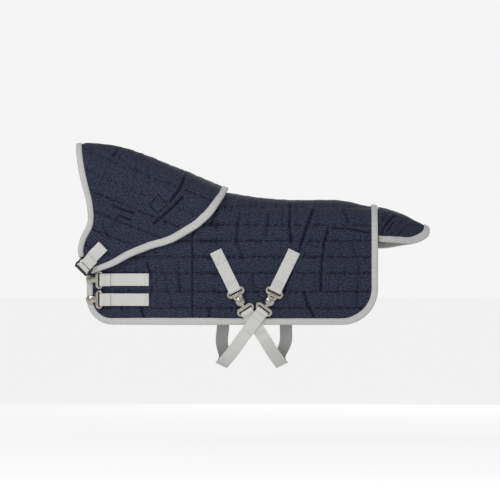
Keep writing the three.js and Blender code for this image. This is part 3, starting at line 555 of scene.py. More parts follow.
def neck_relief(x, a):
    """The neck cover's shell: channels that slope to the withers, a stitched lozenge, folds and puckers."""
    z = body.crest(x) - body.depth(a)
    phase = (z + math.tan(NECK_SLANT) * x) * math.cos(NECK_SLANT) / ROW_PITCH
    along = (x - math.tan(NECK_SLANT) * z) * math.cos(NECK_SLANT)
    to_line = np.abs(phase - np.round(phase)) * ROW_PITCH
    edge = np.minimum(to_edge(x, a, FRONT_EDGE), to_edge(x, a, BACK_EDGE))
    rise = -1.45 + 2.0 * channel(phase)
    gathers = ripple(along + 7 * np.round(phase), 5) * pinch(to_line, 4.2) * 0.3
    pucker = gathers + ripple(along * 0.7, 6) * 0.22
    folds = sum(crease(x, z, line, depth, reach) for line, depth, reach in NECK_CREASES) * smooth(a / 9)
    box = np.abs(np.abs(x - BOX[0]) + np.abs(z - BOX[1]) - BOX_REACH)
    rise = rise + pucker + folds - 1.5 * pinch(box, 1.3)
    free = edge_fade(edge)
    return np.clip(mix(-0.1, rise, free) + 0.2 * ripple(x + a, 9) * (1 - free) * smooth(edge / 3), -1.9, 1.3)


TAIL_CREASES = [
    ([(97.5, -36), (99, -30), (106, -21), (112.5, -16)], 1.3, 1.3), ([(103, -33), (112, -22)], 0.8, 1.2),
    ([(96, -26), (101, -16), (108, -10)], 0.6, 1.4), ([(118, -38), (127, -28)], 0.6, 1.7),
    ([(130, -30), (140, -27)], 0.4, 1.6),
]


def tail_relief(x, a):
    z = tail.crest(x) - tail.depth(a)
    t = (x - TAIL_X) / TAIL_LENGTH
    rise = -0.2 + 0.3 * np.sin(0.21 * (z - 0.6 * x) + 1) + 0.14 * ripple(x - 0.7 * z + np.sign(a) * 3, 7)
    folds = sum(crease(x, z, line, depth, reach) for line, depth, reach in TAIL_CREASES)
    side = np.where(a < 0, -1, 1)
    edge = np.minimum(np.abs(tail_hem(x, side) - a), TAIL_TIP - x)
    return mix(0, rise + folds, edge_fade(edge) * smooth(t * 8))


# ---- Quilts ----
def even_columns(start, end, count, round_start=0.0, round_end=0.0):
    """Columns from start to end, drawn together where an end is rounded."""
    t = np.linspace(0, 1, count)
    bow = np.interp(t, [0, 0.12, 0.88, 1], [0, 0.12 * (1 - round_start), 1 - 0.12 * (1 - round_end), 1])
    return start + (end - start) * bow


def body_grid(columns, rows):
    x = even_columns(CHEST, REAR, columns, 0.6, 0.6)[:, None]
    v = np.linspace(0, 1, rows)[None, :]
    a = mix(body.around(x, neckline(x)), body.around(x, hemline(x)), v)
    return x + 0 * v, a


def body_fill(x, a):
    return filling(np.minimum(np.minimum(x - CHEST, REAR - x), body.around(x, hemline(x)) - a))


def body_surface(x, a):
    return body.at(x, a, body_relief(x, a))


def body_lining(x, a):
    fill = body_fill(x, a)
    return body.at(x, a, -quilt_depth(fill) + 0.25 * (body_relief(x, a) < -0.5) * smooth(fill - 1))


def neck_grid(columns, rows):
    """Straight lines from the front edge to the back edge, both taken at even shares of their points."""
    v = np.linspace(0, NECK_KNOTS, rows)
    front, back = spline(NECK_FRONT, v), spline(NECK_BACK, v)
    u = np.linspace(0, 1, columns)[:, None, None]
    p = mix(front[None], back[None], u)
    return p[..., 0], p[..., 1]


def neck_surface(x, a):
    return body.at(x, a, neck_outer(x, a) + neck_relief(x, a))


def neck_lining(x, a):
    return body.at(x, a, neck_inner(x, a))


def tail_grid(columns, rows):
    x = mix(TAIL_X, TAIL_TIP, np.sin(np.linspace(0, math.pi / 2, columns)))[:, None]
    share = np.linspace(1, -1, rows)[None, :]
    hems = np.where(share < 0, tail_hem(x, -1), tail_hem(x, 1))
    return x + 0 * share, np.abs(share) * hems


def tail_fill(x, a):
    side = np.where(a < 0, -1, 1)
    return 0.5 * filling(np.minimum(np.abs(tail_hem(x, side) - a), TAIL_TIP - x))


def tail_surface(x, a):
    return tail.at(x, a, tail_relief(x, a), 0)


def tail_lining(x, a):
    return tail.at(x, a, -quilt_depth(tail_fill(x, a)), 0)


def painted_crease_shade(relief):
    """Painted shade for stitch lines and folds, 0 to 1: how deep each grid point lies under its surroundings,
    the blurred relief less the relief.
    """
    blurred = relief
    for axis in (0, 1):
        for _ in range(6):
            pad = np.pad(blurred, [(1, 1) if k == axis else (0, 0) for k in (0, 1)], mode="edge")
            ends = [np.take(pad, np.arange(2 * k, relief.shape[axis] + 2 * k), axis) for k in (0, 1)]
            blurred = (ends[0] + 2 * blurred + ends[1]) / 4
    return np.clip((blurred - relief) * 1.7, 0, 1)


def quilt_piece(name, grid, surface, lining, counts, off=False, relief=None):
    """A quilt as one closed piece: shell over the grid, lining under it, and the raw edge between them."""
    x, a = grid(*counts)
    outer, inner = surface(x, a), lining(x, a)
    if off:
        outer, inner = mirror(outer), mirror(inner)
    points, faces, slots = quilt_solid(outer, inner, flip=False)
    flat = np.stack([x, a], -1).reshape(-1, 2) * MM
    obj = make_mesh(name, points, faces, np.vstack([flat, flat]), slots)
    # painted shade: each shell point's depth under its surroundings, stored as the hollow attribute; the
    # lining gets none
    hollow = painted_crease_shade(relief(x, a)).ravel()
    layer = obj.data.attributes.new("hollow", "FLOAT", "POINT")
    layer.data.foreach_set("value", np.concatenate([hollow, 0 * hollow]).astype(np.float32))
    face_outwards(obj)
    return obj


# ---- Edges bound with tape ----
def tape(name, path, skin, lift_at, depth_at, width, seam=SEAM, off=False, seed=1):
    """Bound edge: a folded tape whose U section, thickest at its turn, is carried along the edge.

    The section's middle line is two legs of the tape's width joined by a half circle over the edge; half the
    tape's thickness lies on each side of it. Both legs rise a little between the edge and the seam.
    """
    run = np.gradient(path, axis=0)
    run /= np.linalg.norm(run, axis=1, keepdims=True)
    inward = np.stack([run[:, 1], -run[:, 0]], -1)
    halved = seam > 0
    if halved:
        top = path[:, 1] < 0.1
        inward[top] = np.stack([np.sign(run[top, 1] - run[top, 0]), 0 * run[top, 0]], -1)
    s = lengths(path)
    wave = 0.16 * ripple(s * 1.3, seed) + 0.1 * ripple(s * 2.4, seed + 20)
    depth = depth_at(path[:, 0], path[:, 1])
    half = depth / 2 + TAPE_GAP + TAPE / 2
    legs = np.linspace(1, 0, 9)
    turns = np.linspace(0, 1, 9)[1:-1] * math.pi
    bend, under = len(legs), len(legs) + len(turns)  # where the section's half circle starts and ends
    inset = np.concatenate([legs * width, -np.sin(turns) * 1.1, legs[::-1] * width])
    height = np.concatenate([0 * legs + 1, np.cos(turns), 0 * legs - 1])
    crown = np.concatenate([np.sin(legs * math.pi), 0 * turns, np.sin(legs * math.pi)])
    sink = np.concatenate([legs**6, 0 * turns, legs[::-1] ** 6])

    def layer(grow):
        rings = []
        for k in range(len(inset)):
            q = path + inward * (inset[k] - (grow * math.sin(turns[k - bend]) if bend <= k < under else 0))
            if halved:
                q[:, 1] = np.maximum(q[:, 1], 0)
            swell = 0.42 * crown[k] * (1 + wave) + wave * crown[k] - 0.25 * sink[k]
            share = 1 if k < bend + 4 else 0.4  # the leg underneath swells less
            rise = -depth / 2 + height[k] * (half + grow) + np.sign(height[k]) * swell * share
            rings.append(skin.at(q[:, 0], q[:, 1], lift_at(path[:, 0], path[:, 1], q) + rise, seam))
        return np.stack(rings, 1)

    outer, inner = layer(TAPE / 2), layer(-TAPE / 2)
    ring = np.concatenate([outer, inner[:, ::-1]], 1)
    if off:
        ring = mirror(ring)
    points, faces = tube_solid(ring)
    across = np.concatenate([np.cumsum(np.abs(np.diff(inset, prepend=inset[0]))), [0] * len(inset)])
    across[len(inset):] = across[: len(inset)][::-1]
    uv = np.stack([np.repeat(s, ring.shape[1]), np.tile(across, len(s))], -1)
    obj = make_mesh(name, points, faces, np.vstack([uv, [[0, 0], [s[-1], 0]]]) * MM)
    face_outwards(obj)
    inner_edge = path + inward * (width - 1.2)
    if halved:
        inner_edge[:, 1] = np.maximum(inner_edge[:, 1], 0)
    seam_points = skin.at(inner_edge[:, 0], inner_edge[:, 1],
                          lift_at(path[:, 0], path[:, 1], inner_edge) + TAPE_GAP + TAPE + 0.12, seam)
    return obj, mirror(seam_points) if off else seam_points


def body_edge_path(step=2.0):
    chest = np.stack([np.full(24, CHEST),
                      body.around(np.full(24, CHEST), np.linspace(THROAT - 5, HEM + FRONT_CORNER, 24))], -1)
    turn = np.linspace(0, math.pi / 2, 26)
    x = np.concatenate([CHEST + FRONT_CORNER * (1 - np.cos(turn)),
                        np.linspace(CHEST + FRONT_CORNER, REAR - REAR_CORNER, 130)[1:-1],
                        REAR - REAR_CORNER * (1 - np.sin(np.linspace(0, math.pi / 2, 34)))])
    low = np.stack([x, body.around(x, hemline(x))], -1)
    end = low[-1, 1]
    rear = np.stack([np.full(80, REAR), np.linspace(end, 0, 80)], -1)
    path = np.vstack([chest[:-1], low[:-1], rear])
    return even(path, int(lengths(path)[-1] / step))


def neck_edge_path(edge, step=1.6):
    return even(edge, int(lengths(edge)[-1] / step))


def tail_edge_path(step=1.4):
    x = mix(TAIL_X, TAIL_TIP, np.sin(np.linspace(0, math.pi / 2, 60)))
    near = np.stack([x, tail_hem(x, 1)], -1)
    off = np.stack([x, tail_hem(x, -1)], -1)[::-1]
    tip = np.stack([np.full(16, TAIL_TIP), np.linspace(near[-1, 1], off[0, 1], 16)], -1)
    path = np.vstack([near, tip[1:-1], off])
    return even(path, int(lengths(path)[-1] / step))


# ---- Threads ----
# Pitch, length and radius of a stitch
QUILTING, EDGING, STRAPPING = (3.2, 2.1, 0.2), (2.4, 1.5, 0.2), (1.7, 1.2, 0.2)
SPINDLE_SIDES, SPINDLE_RINGS = 6, 4


def threads(name, rows, stitch):
    """Rows of stitches: each a six-sided spindle laid along its row, sunk at its ends, a pitch apart."""
    pitch, length, radius = stitch
    turn = np.linspace(0, 2 * math.pi, SPINDLE_SIDES, endpoint=False)
    along = np.array([-0.5, -0.3, 0.3, 0.5]) * length
    girth = np.array([0.35, 1, 1, 0.35]) * radius
    sunk = np.array([-0.9, 0.1, 0.1, -0.9]) * radius
    points, faces, base = [], [], 0
    size = SPINDLE_SIDES * SPINDLE_RINGS
    side = grid_faces(SPINDLE_RINGS, SPINDLE_SIDES, wrap=True)
    caps = np.array([np.arange(SPINDLE_SIDES)[::-1], np.arange(size - SPINDLE_SIDES, size)])
    for row, outs in rows:
        s = lengths(row)
        count = max(int(s[-1] / pitch), 2)
        at = (np.arange(count) + 0.5) / count * s[-1]
        p, out = sampled(row, s, at), sampled(outs, s, at)
        run = sampled(row, s, at + 0.2) - sampled(row, s, at - 0.2)
        run /= np.linalg.norm(run, axis=1, keepdims=True)
        out -= run * (out * run).sum(1, keepdims=True)
        out /= np.linalg.norm(out, axis=1, keepdims=True)
        wide = np.cross(out, run)
        ring = (p[:, None, None] + run[:, None, None] * along[None, :, None, None]
                + out[:, None, None] * (sunk[:, None] + girth[:, None] * np.sin(turn))[None, :, :, None]
                + wide[:, None, None] * (girth[:, None] * np.cos(turn))[None, :, :, None])
        points.append(ring.reshape(-1, 3))
        offsets = base + size * np.arange(count)
        faces += (side[None] + offsets[:, None, None]).reshape(-1, 4).tolist()
        for cap in caps:
            faces += (cap[None] + offsets[:, None]).tolist()
        base += size * count
    obj = make_mesh(name, np.vstack(points), faces)
    face_outwards(obj)
    return obj


def sampled(values, s, at):
    """Vectors known at the lengths s, read at the lengths between them."""
    return np.stack([np.interp(at, s, values[:, k]) for k in range(3)], -1)


def row_normals(row):
    """Ways out for a row of thread on the near or off side: sideways from the middle and a little up."""
    return np.stack([0 * row[:, 0], np.sign(row[:, 1] + 1e-6), 0.25 + 0 * row[:, 0]], -1)


# ---- Webbing ----
def seat(x, z, run_x, run_z, lift):
    """A place on the near side at (x, z): its point, the run in the cloth, the way out and the way across."""
    a = body.around(np.float64(x), np.float64(z))
    out = body.normal(np.float64(x), a)
    run = np.array([run_x, 0, run_z], float)
    run -= out * (run @ out)
    run /= np.linalg.norm(run)
    return {"at": body.at(np.float64(x), a, np.float64(lift)), "run": run, "out": out,
            "across": np.cross(out, run)}


def placed(points, place):
    """Points of a piece's own frame (along the run, across, outwards) moved to their place."""
    p = np.asarray(points, float)
    return place["at"] + p[..., :1] * place["run"] + p[..., 1:2] * place["across"] + p[..., 2:] * place["out"]


def eye_path(place, reach):
    """The strap's turn round a bar: in under it, half a turn over, and back as far as the stitching."""
    turn = np.linspace(-math.pi / 2, math.pi / 2 + 0.5, 16)
    over = np.stack([EYE * np.cos(turn), 0 * turn, EYE * np.sin(turn)], -1)
    level = -EYE + WEB + 0.12
    t = np.linspace(0, 1, 12)[1:]
    start = over[-1]
    fall = np.stack([mix(start[0], -reach, t), 0 * t, mix(start[2], level, smooth(t * 1.7))], -1)
    return placed(np.vstack([over, fall]), place)


def sewn_strap(x, z, slope, station_reaches, place, fold):
    """A strap's middle line and the way across it: from its sewn end to its bar at (x, z), and round it."""
    flat = [seat(x + slope[0] * r, z + slope[1] * r, *slope, STRAP_GAP + WEB / 2) for r in station_reaches]
    turn = eye_path(place, fold)
    path = np.vstack([[f["at"] for f in flat], turn])
    return path, np.vstack([[f["across"] for f in flat], np.tile(-place["across"], (len(turn), 1))])


def strap_row(x, z, slope, u, w, lift):
    """A row of thread on such a strap, u along it from its bar and w across it, and its ways out."""
    found = [seat(x + slope[0] * r, z + slope[1] * r, *slope, STRAP_GAP + WEB + lift) for r in u]
    row = np.array([f["at"] + f["across"] * b for f, b in zip(found, w)])
    return row, np.array([f["out"] for f in found])


SEWN, DOUBLED = -0.02, 1.16  # a thread's lift over one layer of webbing, and over two


# ---- Nickel plates ----
def ring_solid(path, inward, section):
    """Faces and points of a closed ring: a section (inwards, upwards) carried round a closed path."""
    up = np.array([0, 0, 1])
    rings = path[:, None] + inward[:, None] * section[None, :, :1] + up * section[None, :, 1:]
    n, m = rings.shape[:2]
    index = np.arange(n * m).reshape(n, m)
    onward = np.roll(index, -1, 0)
    faces = np.stack([index, onward, np.roll(onward, -1, 1), np.roll(index, -1, 1)], -1)
    return rings.reshape(-1, 3), faces.reshape(-1, 4).tolist()


CORNERS = [(1, 1), (-1, 1), (-1, -1), (1, -1)]


def oblong(half_x, half_y, r, steps, middle=0.0):
    """Points round a level oblong with round corners, and the way inwards at each of them."""
    turn = np.linspace(0, math.pi / 2, steps)
    points, inward = [], []
    for k, (sx, sy) in enumerate(CORNERS):
        angle = turn + k * math.pi / 2
        away = np.stack([np.cos(angle), np.sin(angle), 0 * angle], -1)
        points.append(np.array([middle + sx * (half_x - r), sy * (half_y - r), 0]) + r * away)
        inward.append(-away)
    return np.vstack(points), np.vstack(inward)


def rounded_box(width, height, r, steps=4):
    """Outline of a bar with rounded edges, as (across, up) points."""
    turn = np.linspace(0, math.pi / 2, steps)
    corner = np.stack([np.cos(turn), np.sin(turn)], -1) * r
    w, h = width / 2 - r, height / 2 - r
    quarters = []
    for k, (sx, sy) in enumerate(CORNERS):
        c, s_ = math.cos(k * math.pi / 2), math.sin(k * math.pi / 2)
        quarters.append(corner @ np.array([[c, s_], [-s_, c]]) + [sx * w, sy * h])
    return np.vstack(quarters)


def merge_solids(parts):
    points, faces, base = [], [], 0
    for p, f in parts:
        points.append(p)
        faces += [tuple(int(i) + base for i in face) for face in f]
        base += len(p)
    return np.vstack(points), faces


def outward(points, faces):
    """The same closed solid with its faces turned out, by the sign of its volume."""
    fans = [(f[0], i, j) for f in faces for i, j in zip(f[1:-1], f[2:])]
    a, b, c = points[np.array(fans)].transpose(1, 0, 2)
    volume = (a * np.cross(b, c)).sum()
    return points, [tuple(f)[::-1] for f in faces] if volume < 0 else faces


PLATE, LOOP_WIDTH, LOOP_SLOT, LOOP_END, SLOT = 1.6, 9.6, 4.4, 3.4, STRAP + 1.2
BAR = (LOOP_WIDTH - LOOP_SLOT) / 2
LOOP_MIDDLE = (LOOP_SLOT + BAR) / 2


def loop_solid():
    """The webbing loop: a rounded bar round an oblong with full corners, its webbing bar on the origin."""
    w, l = (LOOP_WIDTH - BAR) / 2, (SLOT + LOOP_END) / 2
    centre, inward = oblong(w, l, w - 0.4, 9)
    section = rounded_box(BAR, PLATE * 1.08, 0.42, 5)
    points, faces = ring_solid(centre, inward, section)
    stud_side = smooth((np.repeat(centre[:, 0], len(section)) - 0.55 * w) / (0.45 * w))
    inner = np.tile(section[:, 0] > 0, len(centre))
    points[:, 0] -= 1.05 * stud_side * inner
    return outward(points + [LOOP_MIDDLE, 0, 0], faces)


def bridge_solid(width, start, end):
    """The flat neck from loop to stud, its edges rounded, waisted by a tenth at its middle."""
    t = np.linspace(0, 1, 12)
    x = mix(start, end, t)
    waist = 1 - 0.1 * np.sin(t * math.pi)
    section = rounded_box(width, PLATE, 0.5, 4)
    rings = np.stack([np.repeat(x[:, None], len(section), 1), section[None, :, 0] * waist[:, None],
                      np.repeat(section[None, :, 1], len(t), 0)], -1)
    points, faces = tube_solid(rings)
    return outward(points, faces)


def lathe_solid(profile, centre, opening=None, steps=48):
    """A profile of (radius, height) points turned about an upright axis; both ends lie on the axis."""
    turn = np.linspace(0, 2 * math.pi, steps, endpoint=False)
    r, h = np.array(profile, float)[1:-1].T
    rings = np.stack([r[:, None] * np.cos(turn), r[:, None] * np.sin(turn), h[:, None] + 0 * turn], -1)
    if opening is not None:
        rings = opening(rings, turn)
    n = len(r)
    points = np.vstack([rings.reshape(-1, 3), [[0, 0, profile[0][1]], [0, 0, profile[-1][1]]]])
    faces = grid_faces(n, steps, 0, wrap=True).tolist()
    for k in range(steps):
        k2 = (k + 1) % steps
        faces += [(n * steps, k2, k), (n * steps + 1, (n - 1) * steps + k, (n - 1) * steps + k2)]
    return outward(points + centre, faces)


DOME_TOP, DOME_CAVITY = 2.4, 3.9


def dome_solid():
    """The domed button: a hollow under it for the stud, a rolled rim, a step, and a shallow crown."""
    low = -PLATE / 2
    profile = [
        (0, 1.2), (2.5, 1.2), (3.75, 1.1), (DOME_CAVITY, 0.7), (DOME_CAVITY, low + 0.3), (4.05, low + 0.05),
        (4.4, low), (4.95, low), (5.3, low + 0.15), (5.47, low + 0.5), (5.5, 0.2), (5.42, 0.85), (5.15, 1.2),
        (4.8, 1.32), (4.55, 1.3), (4.42, 1.38), (4.3, 1.56), (3.9, 1.86), (3.2, 2.14), (2.3, 2.31),
        (1.2, 2.39),
        (0, DOME_TOP),
    ]

    def mouth(rings, turn):
        """Lifts the skirt's foot over the side where a stud's neck passes."""
        open_ = smooth((np.cos(turn) - 0.66) / 0.16)
        low_ring = np.clip((0.95 - rings[..., 2]) / 0.1, 0, 1) * (rings[..., 2] < 0.95)
        rings[..., 2] = mix(rings[..., 2], 0.95 + 0.05 * (rings[..., 2] - low), open_ * low_ring)
        return rings

    return lathe_solid(profile, np.array([CLIP_REACH, 0, 0]), mouth)


def stud_solid():
    """The stud under the dome: a short round post with a small head."""
    low = -PLATE / 2
    profile = [(0, low), (2.4, low), (2.72, low + 0.2), (2.8, low + 0.5), (2.8, low + 1.1), (2.6, low + 1.45),
               (2.2, low + 1.6), (0, low + 1.6)]
    return lathe_solid(profile, np.array([CLIP_REACH, 0, 0]), steps=32)


def plate_piece(name, place, dome, off=False, wide=False):
    """A clip plate: loop, neck, and a dome or a stud; a wide one's neck has a window for its spring."""
    neck = LOOP_SLOT + BAR / 2 + 0.35 * BAR
    head = dome_solid() if dome else stud_solid()
    if wide:
        bridge = box_ring(1.9, 4.3, 9.2, 3.0, 2.3, 1.4)
        bridge = (bridge[0] + [0, 0, 0.35], bridge[1])
    else:
        bridge = bridge_solid(8.0 if dome else 4.0, neck, CLIP_REACH - (3.95 if dome else 1.0))
    points, faces = merge_solids([loop_solid(), bridge, head])
    points = placed(points, place)
    if off:
        points = mirror(points)
        faces = [f[::-1] for f in faces]
    obj = make_mesh(name, points, faces)
    if np.linalg.det(np.stack([place["run"], place["across"], place["out"]])) < 0:
        obj.data.flip_normals()
    return obj


# ---- Places ----
def chest_place(level):
    return seat(CHEST_BAR, CHEST_STRAP - level * PITCH, -1, 0, BAR_LIFT)


def tab_place(away):
    x = SURCINGLE + away * TAB_SPREAD / 2
    return seat(x, HEM + TAB_FOOT, -away * math.sin(TAB_TILT), -math.cos(TAB_TILT), BAR_LIFT)


def turned(vector, axis, angle):
    c, s_ = math.cos(angle), math.sin(angle)
    return vector * c + np.cross(axis, vector) * s_ + axis * (axis @ vector) * (1 - c)


def hanger_place(away):
    bar = tab_place(away)
    stud = bar["at"] + bar["run"] * CLIP_REACH
    bend = (ELASTIC_TILTS[away] - TAB_TILT) * (1 if away < 0 else -1)
    down = turned(bar["run"], bar["out"], bend)
    return down, {"at": stud + down * CLIP_REACH, "run": -down, "out": bar["out"],
                  "across": np.cross(bar["out"], -down)}


OVER = TAPE_GAP + TAPE + 0.7 + WEB / 2


def elastic_rise(away, d):
    """Height of the elastic's middle above its bar, d below the bar; the rear one lies over the front one."""
    rest = OVER + (WEB + 0.8 if away > 0 else 0) - BAR_LIFT
    return rest * float(smooth((d - 2.8) / 4.5))


def joined(first, second):
    """The second mesh added to the first as its second finish; the second object is removed."""
    bm = bmesh.new()
    bm.from_mesh(first.data)
    count = len(bm.faces)
    bm.from_mesh(second.data)
    bm.faces.ensure_lookup_table()
    for face in bm.faces[count:]:
        face.material_index = 1
    bm.to_mesh(first.data)
    bm.free()
    bpy.data.objects.remove(second)
    return first


def elastic_path(away):
    """The elastic's middle line and its direction across, from its eye to the sewn end on the off side."""
    down, lower = hanger_place(away)

    def along(d):
        return lower["at"] + down * d + lower["out"] * elastic_rise(away, d)

    fold = along(NEAR_LENGTH + 0.9)
    deep = HEM - BELLY
    turn_x = fold[0] - 1.02 * away * math.tan(ELASTIC_TILTS[away]) * (fold[2] - deep)
    lean_x = ELASTIC_LEANS[away]
    off_x = turn_x + 2 * away + lean_x

    def off(x, rise, lift):
        a = body.around(np.float64(x), np.float64(HEM + rise))
        return body.at(np.float64(x), a, np.float64(lift)) * [1, -1, 1]

    foot = off(off_x, 10, OVER)
    under = through([
        along(NEAR_LENGTH - 3), fold, along(NEAR_LENGTH + 4),
        [mix(fold[0], turn_x, 0.46), 0.84 * fold[1], mix(fold[2], deep, 0.5)],
        [mix(fold[0], turn_x, 0.86), 0.52 * fold[1], mix(fold[2], deep, 0.88)],
        [turn_x, -0.06 * HALF, deep], [turn_x + 4 * away + 0.2 * lean_x, 0.5 * HALF, deep + 8],
        [off_x - 1.5 * away - 0.25 * lean_x, 0.9 * foot[1], HEM - 22], [off_x, foot[1], HEM - 4], foot,
        off(off_x, 17, OVER - 0.7), off(off_x + 3 * away, 36, STRAP_GAP + WEB / 2),
    ], 130)
    near = np.array([along(d) for d in np.linspace(0.4, NEAR_LENGTH - 3.2, 30)])
    near = near[np.linalg.norm(near - lower["at"], axis=1) > 2.4]
    sign = np.sign(lower["across"][0])
    low = np.array([0.9, 0, -0.4 * away]) * sign
    upright = np.array([1.0, 0, 0]) * sign
    t = np.linspace(0, 1, len(under))[:, None]
    lean = mix(mix(lower["across"], low, smooth(t / 0.5)), upright, smooth((t - 0.5) / 0.3))
    head = eye_path(lower, 9.0)
    path = np.vstack([head[::-1], near, under])
    across = np.vstack([np.tile(lower["across"], (len(head) + len(near), 1)), lean])
    return path, across, down, lower


# ---- Throat ----
SLIDE_BAR, SLIDE_FRONT, SLIDE_BACK, SLIDE_LENGTH = 2.2, 2.4, 4.1, 21.0
SLIDE_EYE = SLIDE_BAR / 2 * math.sqrt(2) + 0.3
SLIDE_OUTER = SLIDE_EYE + WEB + 0.1
CUT_GAP = SLIDE_OUTER - 1.6
REAR_BAR = SLIDE_BAR + SLIDE_BACK
CLIMB = (math.cos(math.radians(45)), math.sin(math.radians(45)))
CUT = (NECK_FRONT[-1] + NECK_BACK[-1]) / 2
CUT_Z = float(body.crest(CUT[0]) - (CUT[1] - body.quarter + ROUND))
TAB_REACH, PATCH, PATCH_LIFT = 27.0, 0.8, 1.6


def over_neck(d, above):
    x, z = CUT[0] + CLIMB[0] * (d - CUT_GAP), CUT_Z + CLIMB[1] * (d - CUT_GAP)
    a = body.around(np.float64(x), np.float64(z))
    return seat(x, z, CLIMB[0], CLIMB[1], neck_outer(np.float64(x), a) + above)


def slide_place():
    return over_neck(0, TAPE_GAP + TAPE + 2 + SLIDE_OUTER)


# ---- Materials ----
class Nodes:
    """A short way to write a material's nodes."""

    def __init__(self, name):
        self.material = bpy.data.materials.new(name)
        self.material.use_nodes = True
        self.tree = self.material.node_tree
        self.shader = self.tree.nodes["Principled BSDF"]

    def add(self, kind, inputs=(), **settings):
        node = self.tree.nodes.new(kind)
        for key, value in settings.items():
            setattr(node, key, value)
        for key, value in dict(inputs).items():
            if isinstance(value, bpy.types.NodeSocket):
                self.tree.links.new(value, node.inputs[key])
            else:
                node.inputs[key].default_value = value
        return node

    def math(self, operation, *values, clamp=False):
        node = self.add("ShaderNodeMath", dict(enumerate(values)), operation=operation, use_clamp=clamp)
        return node.outputs[0]

    def scaled(self, coordinates, scale, turn=0.0):
        return self.add("ShaderNodeMapping",
                        {"Vector": coordinates, "Scale": scale, "Rotation": (0, 0, turn)}).outputs[0]

    def noise(self, coordinates, scale, detail=3.0, rough=0.55):
        return self.add("ShaderNodeTexNoise", {"Vector": coordinates, "Scale": scale, "Detail": detail,
                                               "Roughness": rough}).outputs["Fac"]

    def spread(self, value, low, high):
        """The value taken from 0..1 to low..high."""
        return self.add("ShaderNodeMapRange", {"Value": value, "To Min": low, "To Max": high}).outputs[0]

    def colour(self, factor, dark, light):
        node = self.add("ShaderNodeMix", {"Factor": factor}, data_type="RGBA")
        node.inputs[6].default_value = (*dark, 1)
        node.inputs[7].default_value = (*light, 1)
        return node.outputs[2]

    def tinted(self, colour, factor, tint, blend="MULTIPLY"):
        node = self.add("ShaderNodeMix", {"Factor": factor}, data_type="RGBA", blend_type=blend)
        self.tree.links.new(colour, node.inputs[6])
        node.inputs[7].default_value = (*tint, 1)
        return node.outputs[2]

    def bump(self, height, strength, distance, normal=None):
        inputs = {"Height": height, "Strength": strength, "Distance": distance}
        if normal is not None:
            inputs["Normal"] = normal
        return self.add("ShaderNodeBump", inputs).outputs[0]

    def finish(self, colour, roughness, normal, **constants):
        self.tree.links.new(colour, self.shader.inputs["Base Color"])
        if isinstance(roughness, bpy.types.NodeSocket):
            self.tree.links.new(roughness, self.shader.inputs["Roughness"])
        else:
            self.shader.inputs["Roughness"].default_value = roughness
        if normal is not None:
            self.tree.links.new(normal, self.shader.inputs["Normal"])
        for key, value in constants.items():
            self.shader.inputs[key.replace("_", " ")].default_value = value
        return self.material

    def blend(self, first, first_share, second, second_share, clamp=False):
        """The sum of two values, each times its share."""
        shares = self.math("MULTIPLY", first, first_share), self.math("MULTIPLY", second, second_share)
        return self.math("ADD", *shares, clamp=clamp)

    def ribs(self, value, period):
        """A triangle wave along the value, from 0 to 1 and back in one period."""
        return self.math("MULTIPLY", self.math("PINGPONG", self.math("DIVIDE", value, period), 0.5), 2.0)

    def uv(self):
        return self.add("ShaderNodeUVMap", uv_map="cloth").outputs[0]

    def place(self):
        return self.add("ShaderNodeTexCoord").outputs["Object"]

    def split(self, vector):
        node = self.add("ShaderNodeSeparateXYZ", {0: vector})
        return node.outputs[0], node.outputs[1]


TO_MM = (1000, 1000, 1000)  # the cloth's UVs are in metres


def shade(colour, factor):
    return tuple(min(c * factor, 1) for c in colour)


def herringbone(name, colour, rows=3.4, period=7.0, slant=0.0, strength=0.5, swing=1.6):
    """Quilted cloth: rows of zigzag weave, a saw across a triangle wave, over fine yarn and dust."""
    n = Nodes(name)
    uv = n.uv()
    turned_uv = n.scaled(uv, TO_MM, slant)
    u, v = n.split(turned_uv)
    wander = n.spread(n.noise(uv, 60), -0.9, 0.9)
    zig = n.math("PINGPONG", n.math("DIVIDE", n.math("ADD", u, wander), period), 0.5)
    row = n.math("ADD", n.math("DIVIDE", n.math("ADD", v, wander), rows), n.math("MULTIPLY", zig, swing))
    wave = n.math("PINGPONG", row, 0.5)
    weave = n.math("MULTIPLY", wave, 2.0)
    yarn = n.noise(n.scaled(turned_uv, (0.5, 0.42, 1)), 1.0, 2, 0.5)
    soil = n.noise(uv, 22, 4)
    sharp = n.add("ShaderNodeMapRange", {"Value": yarn, "From Min": 0.35, "From Max": 0.65}).outputs[0]
    base = n.colour(n.blend(weave, 0.4, sharp, 0.6, True),
                    shade(colour, 0.22), shade(colour, 2.3))
    base = n.tinted(base, n.spread(soil, 0.0, 0.35), (0.72, 0.74, 0.8))
    # painted shade: the cloth darkens towards dark blue where the hollow attribute marks stitch lines and
    # folds
    hollow = n.add("ShaderNodeAttribute", attribute_name="hollow").outputs["Fac"]
    base = n.tinted(base, hollow, (0.2, 0.2, 0.3))
    height = n.math("ADD", weave, n.math("MULTIPLY", yarn, 0.7))
    normal = n.bump(height, strength, 0.00035)
    return n.finish(base, n.spread(n.blend(weave, 0.5, soil, 0.5), 0.9, 0.68),
                    normal, Sheen_Weight=0.03, Sheen_Roughness=0.4, Specular_IOR_Level=0.12)


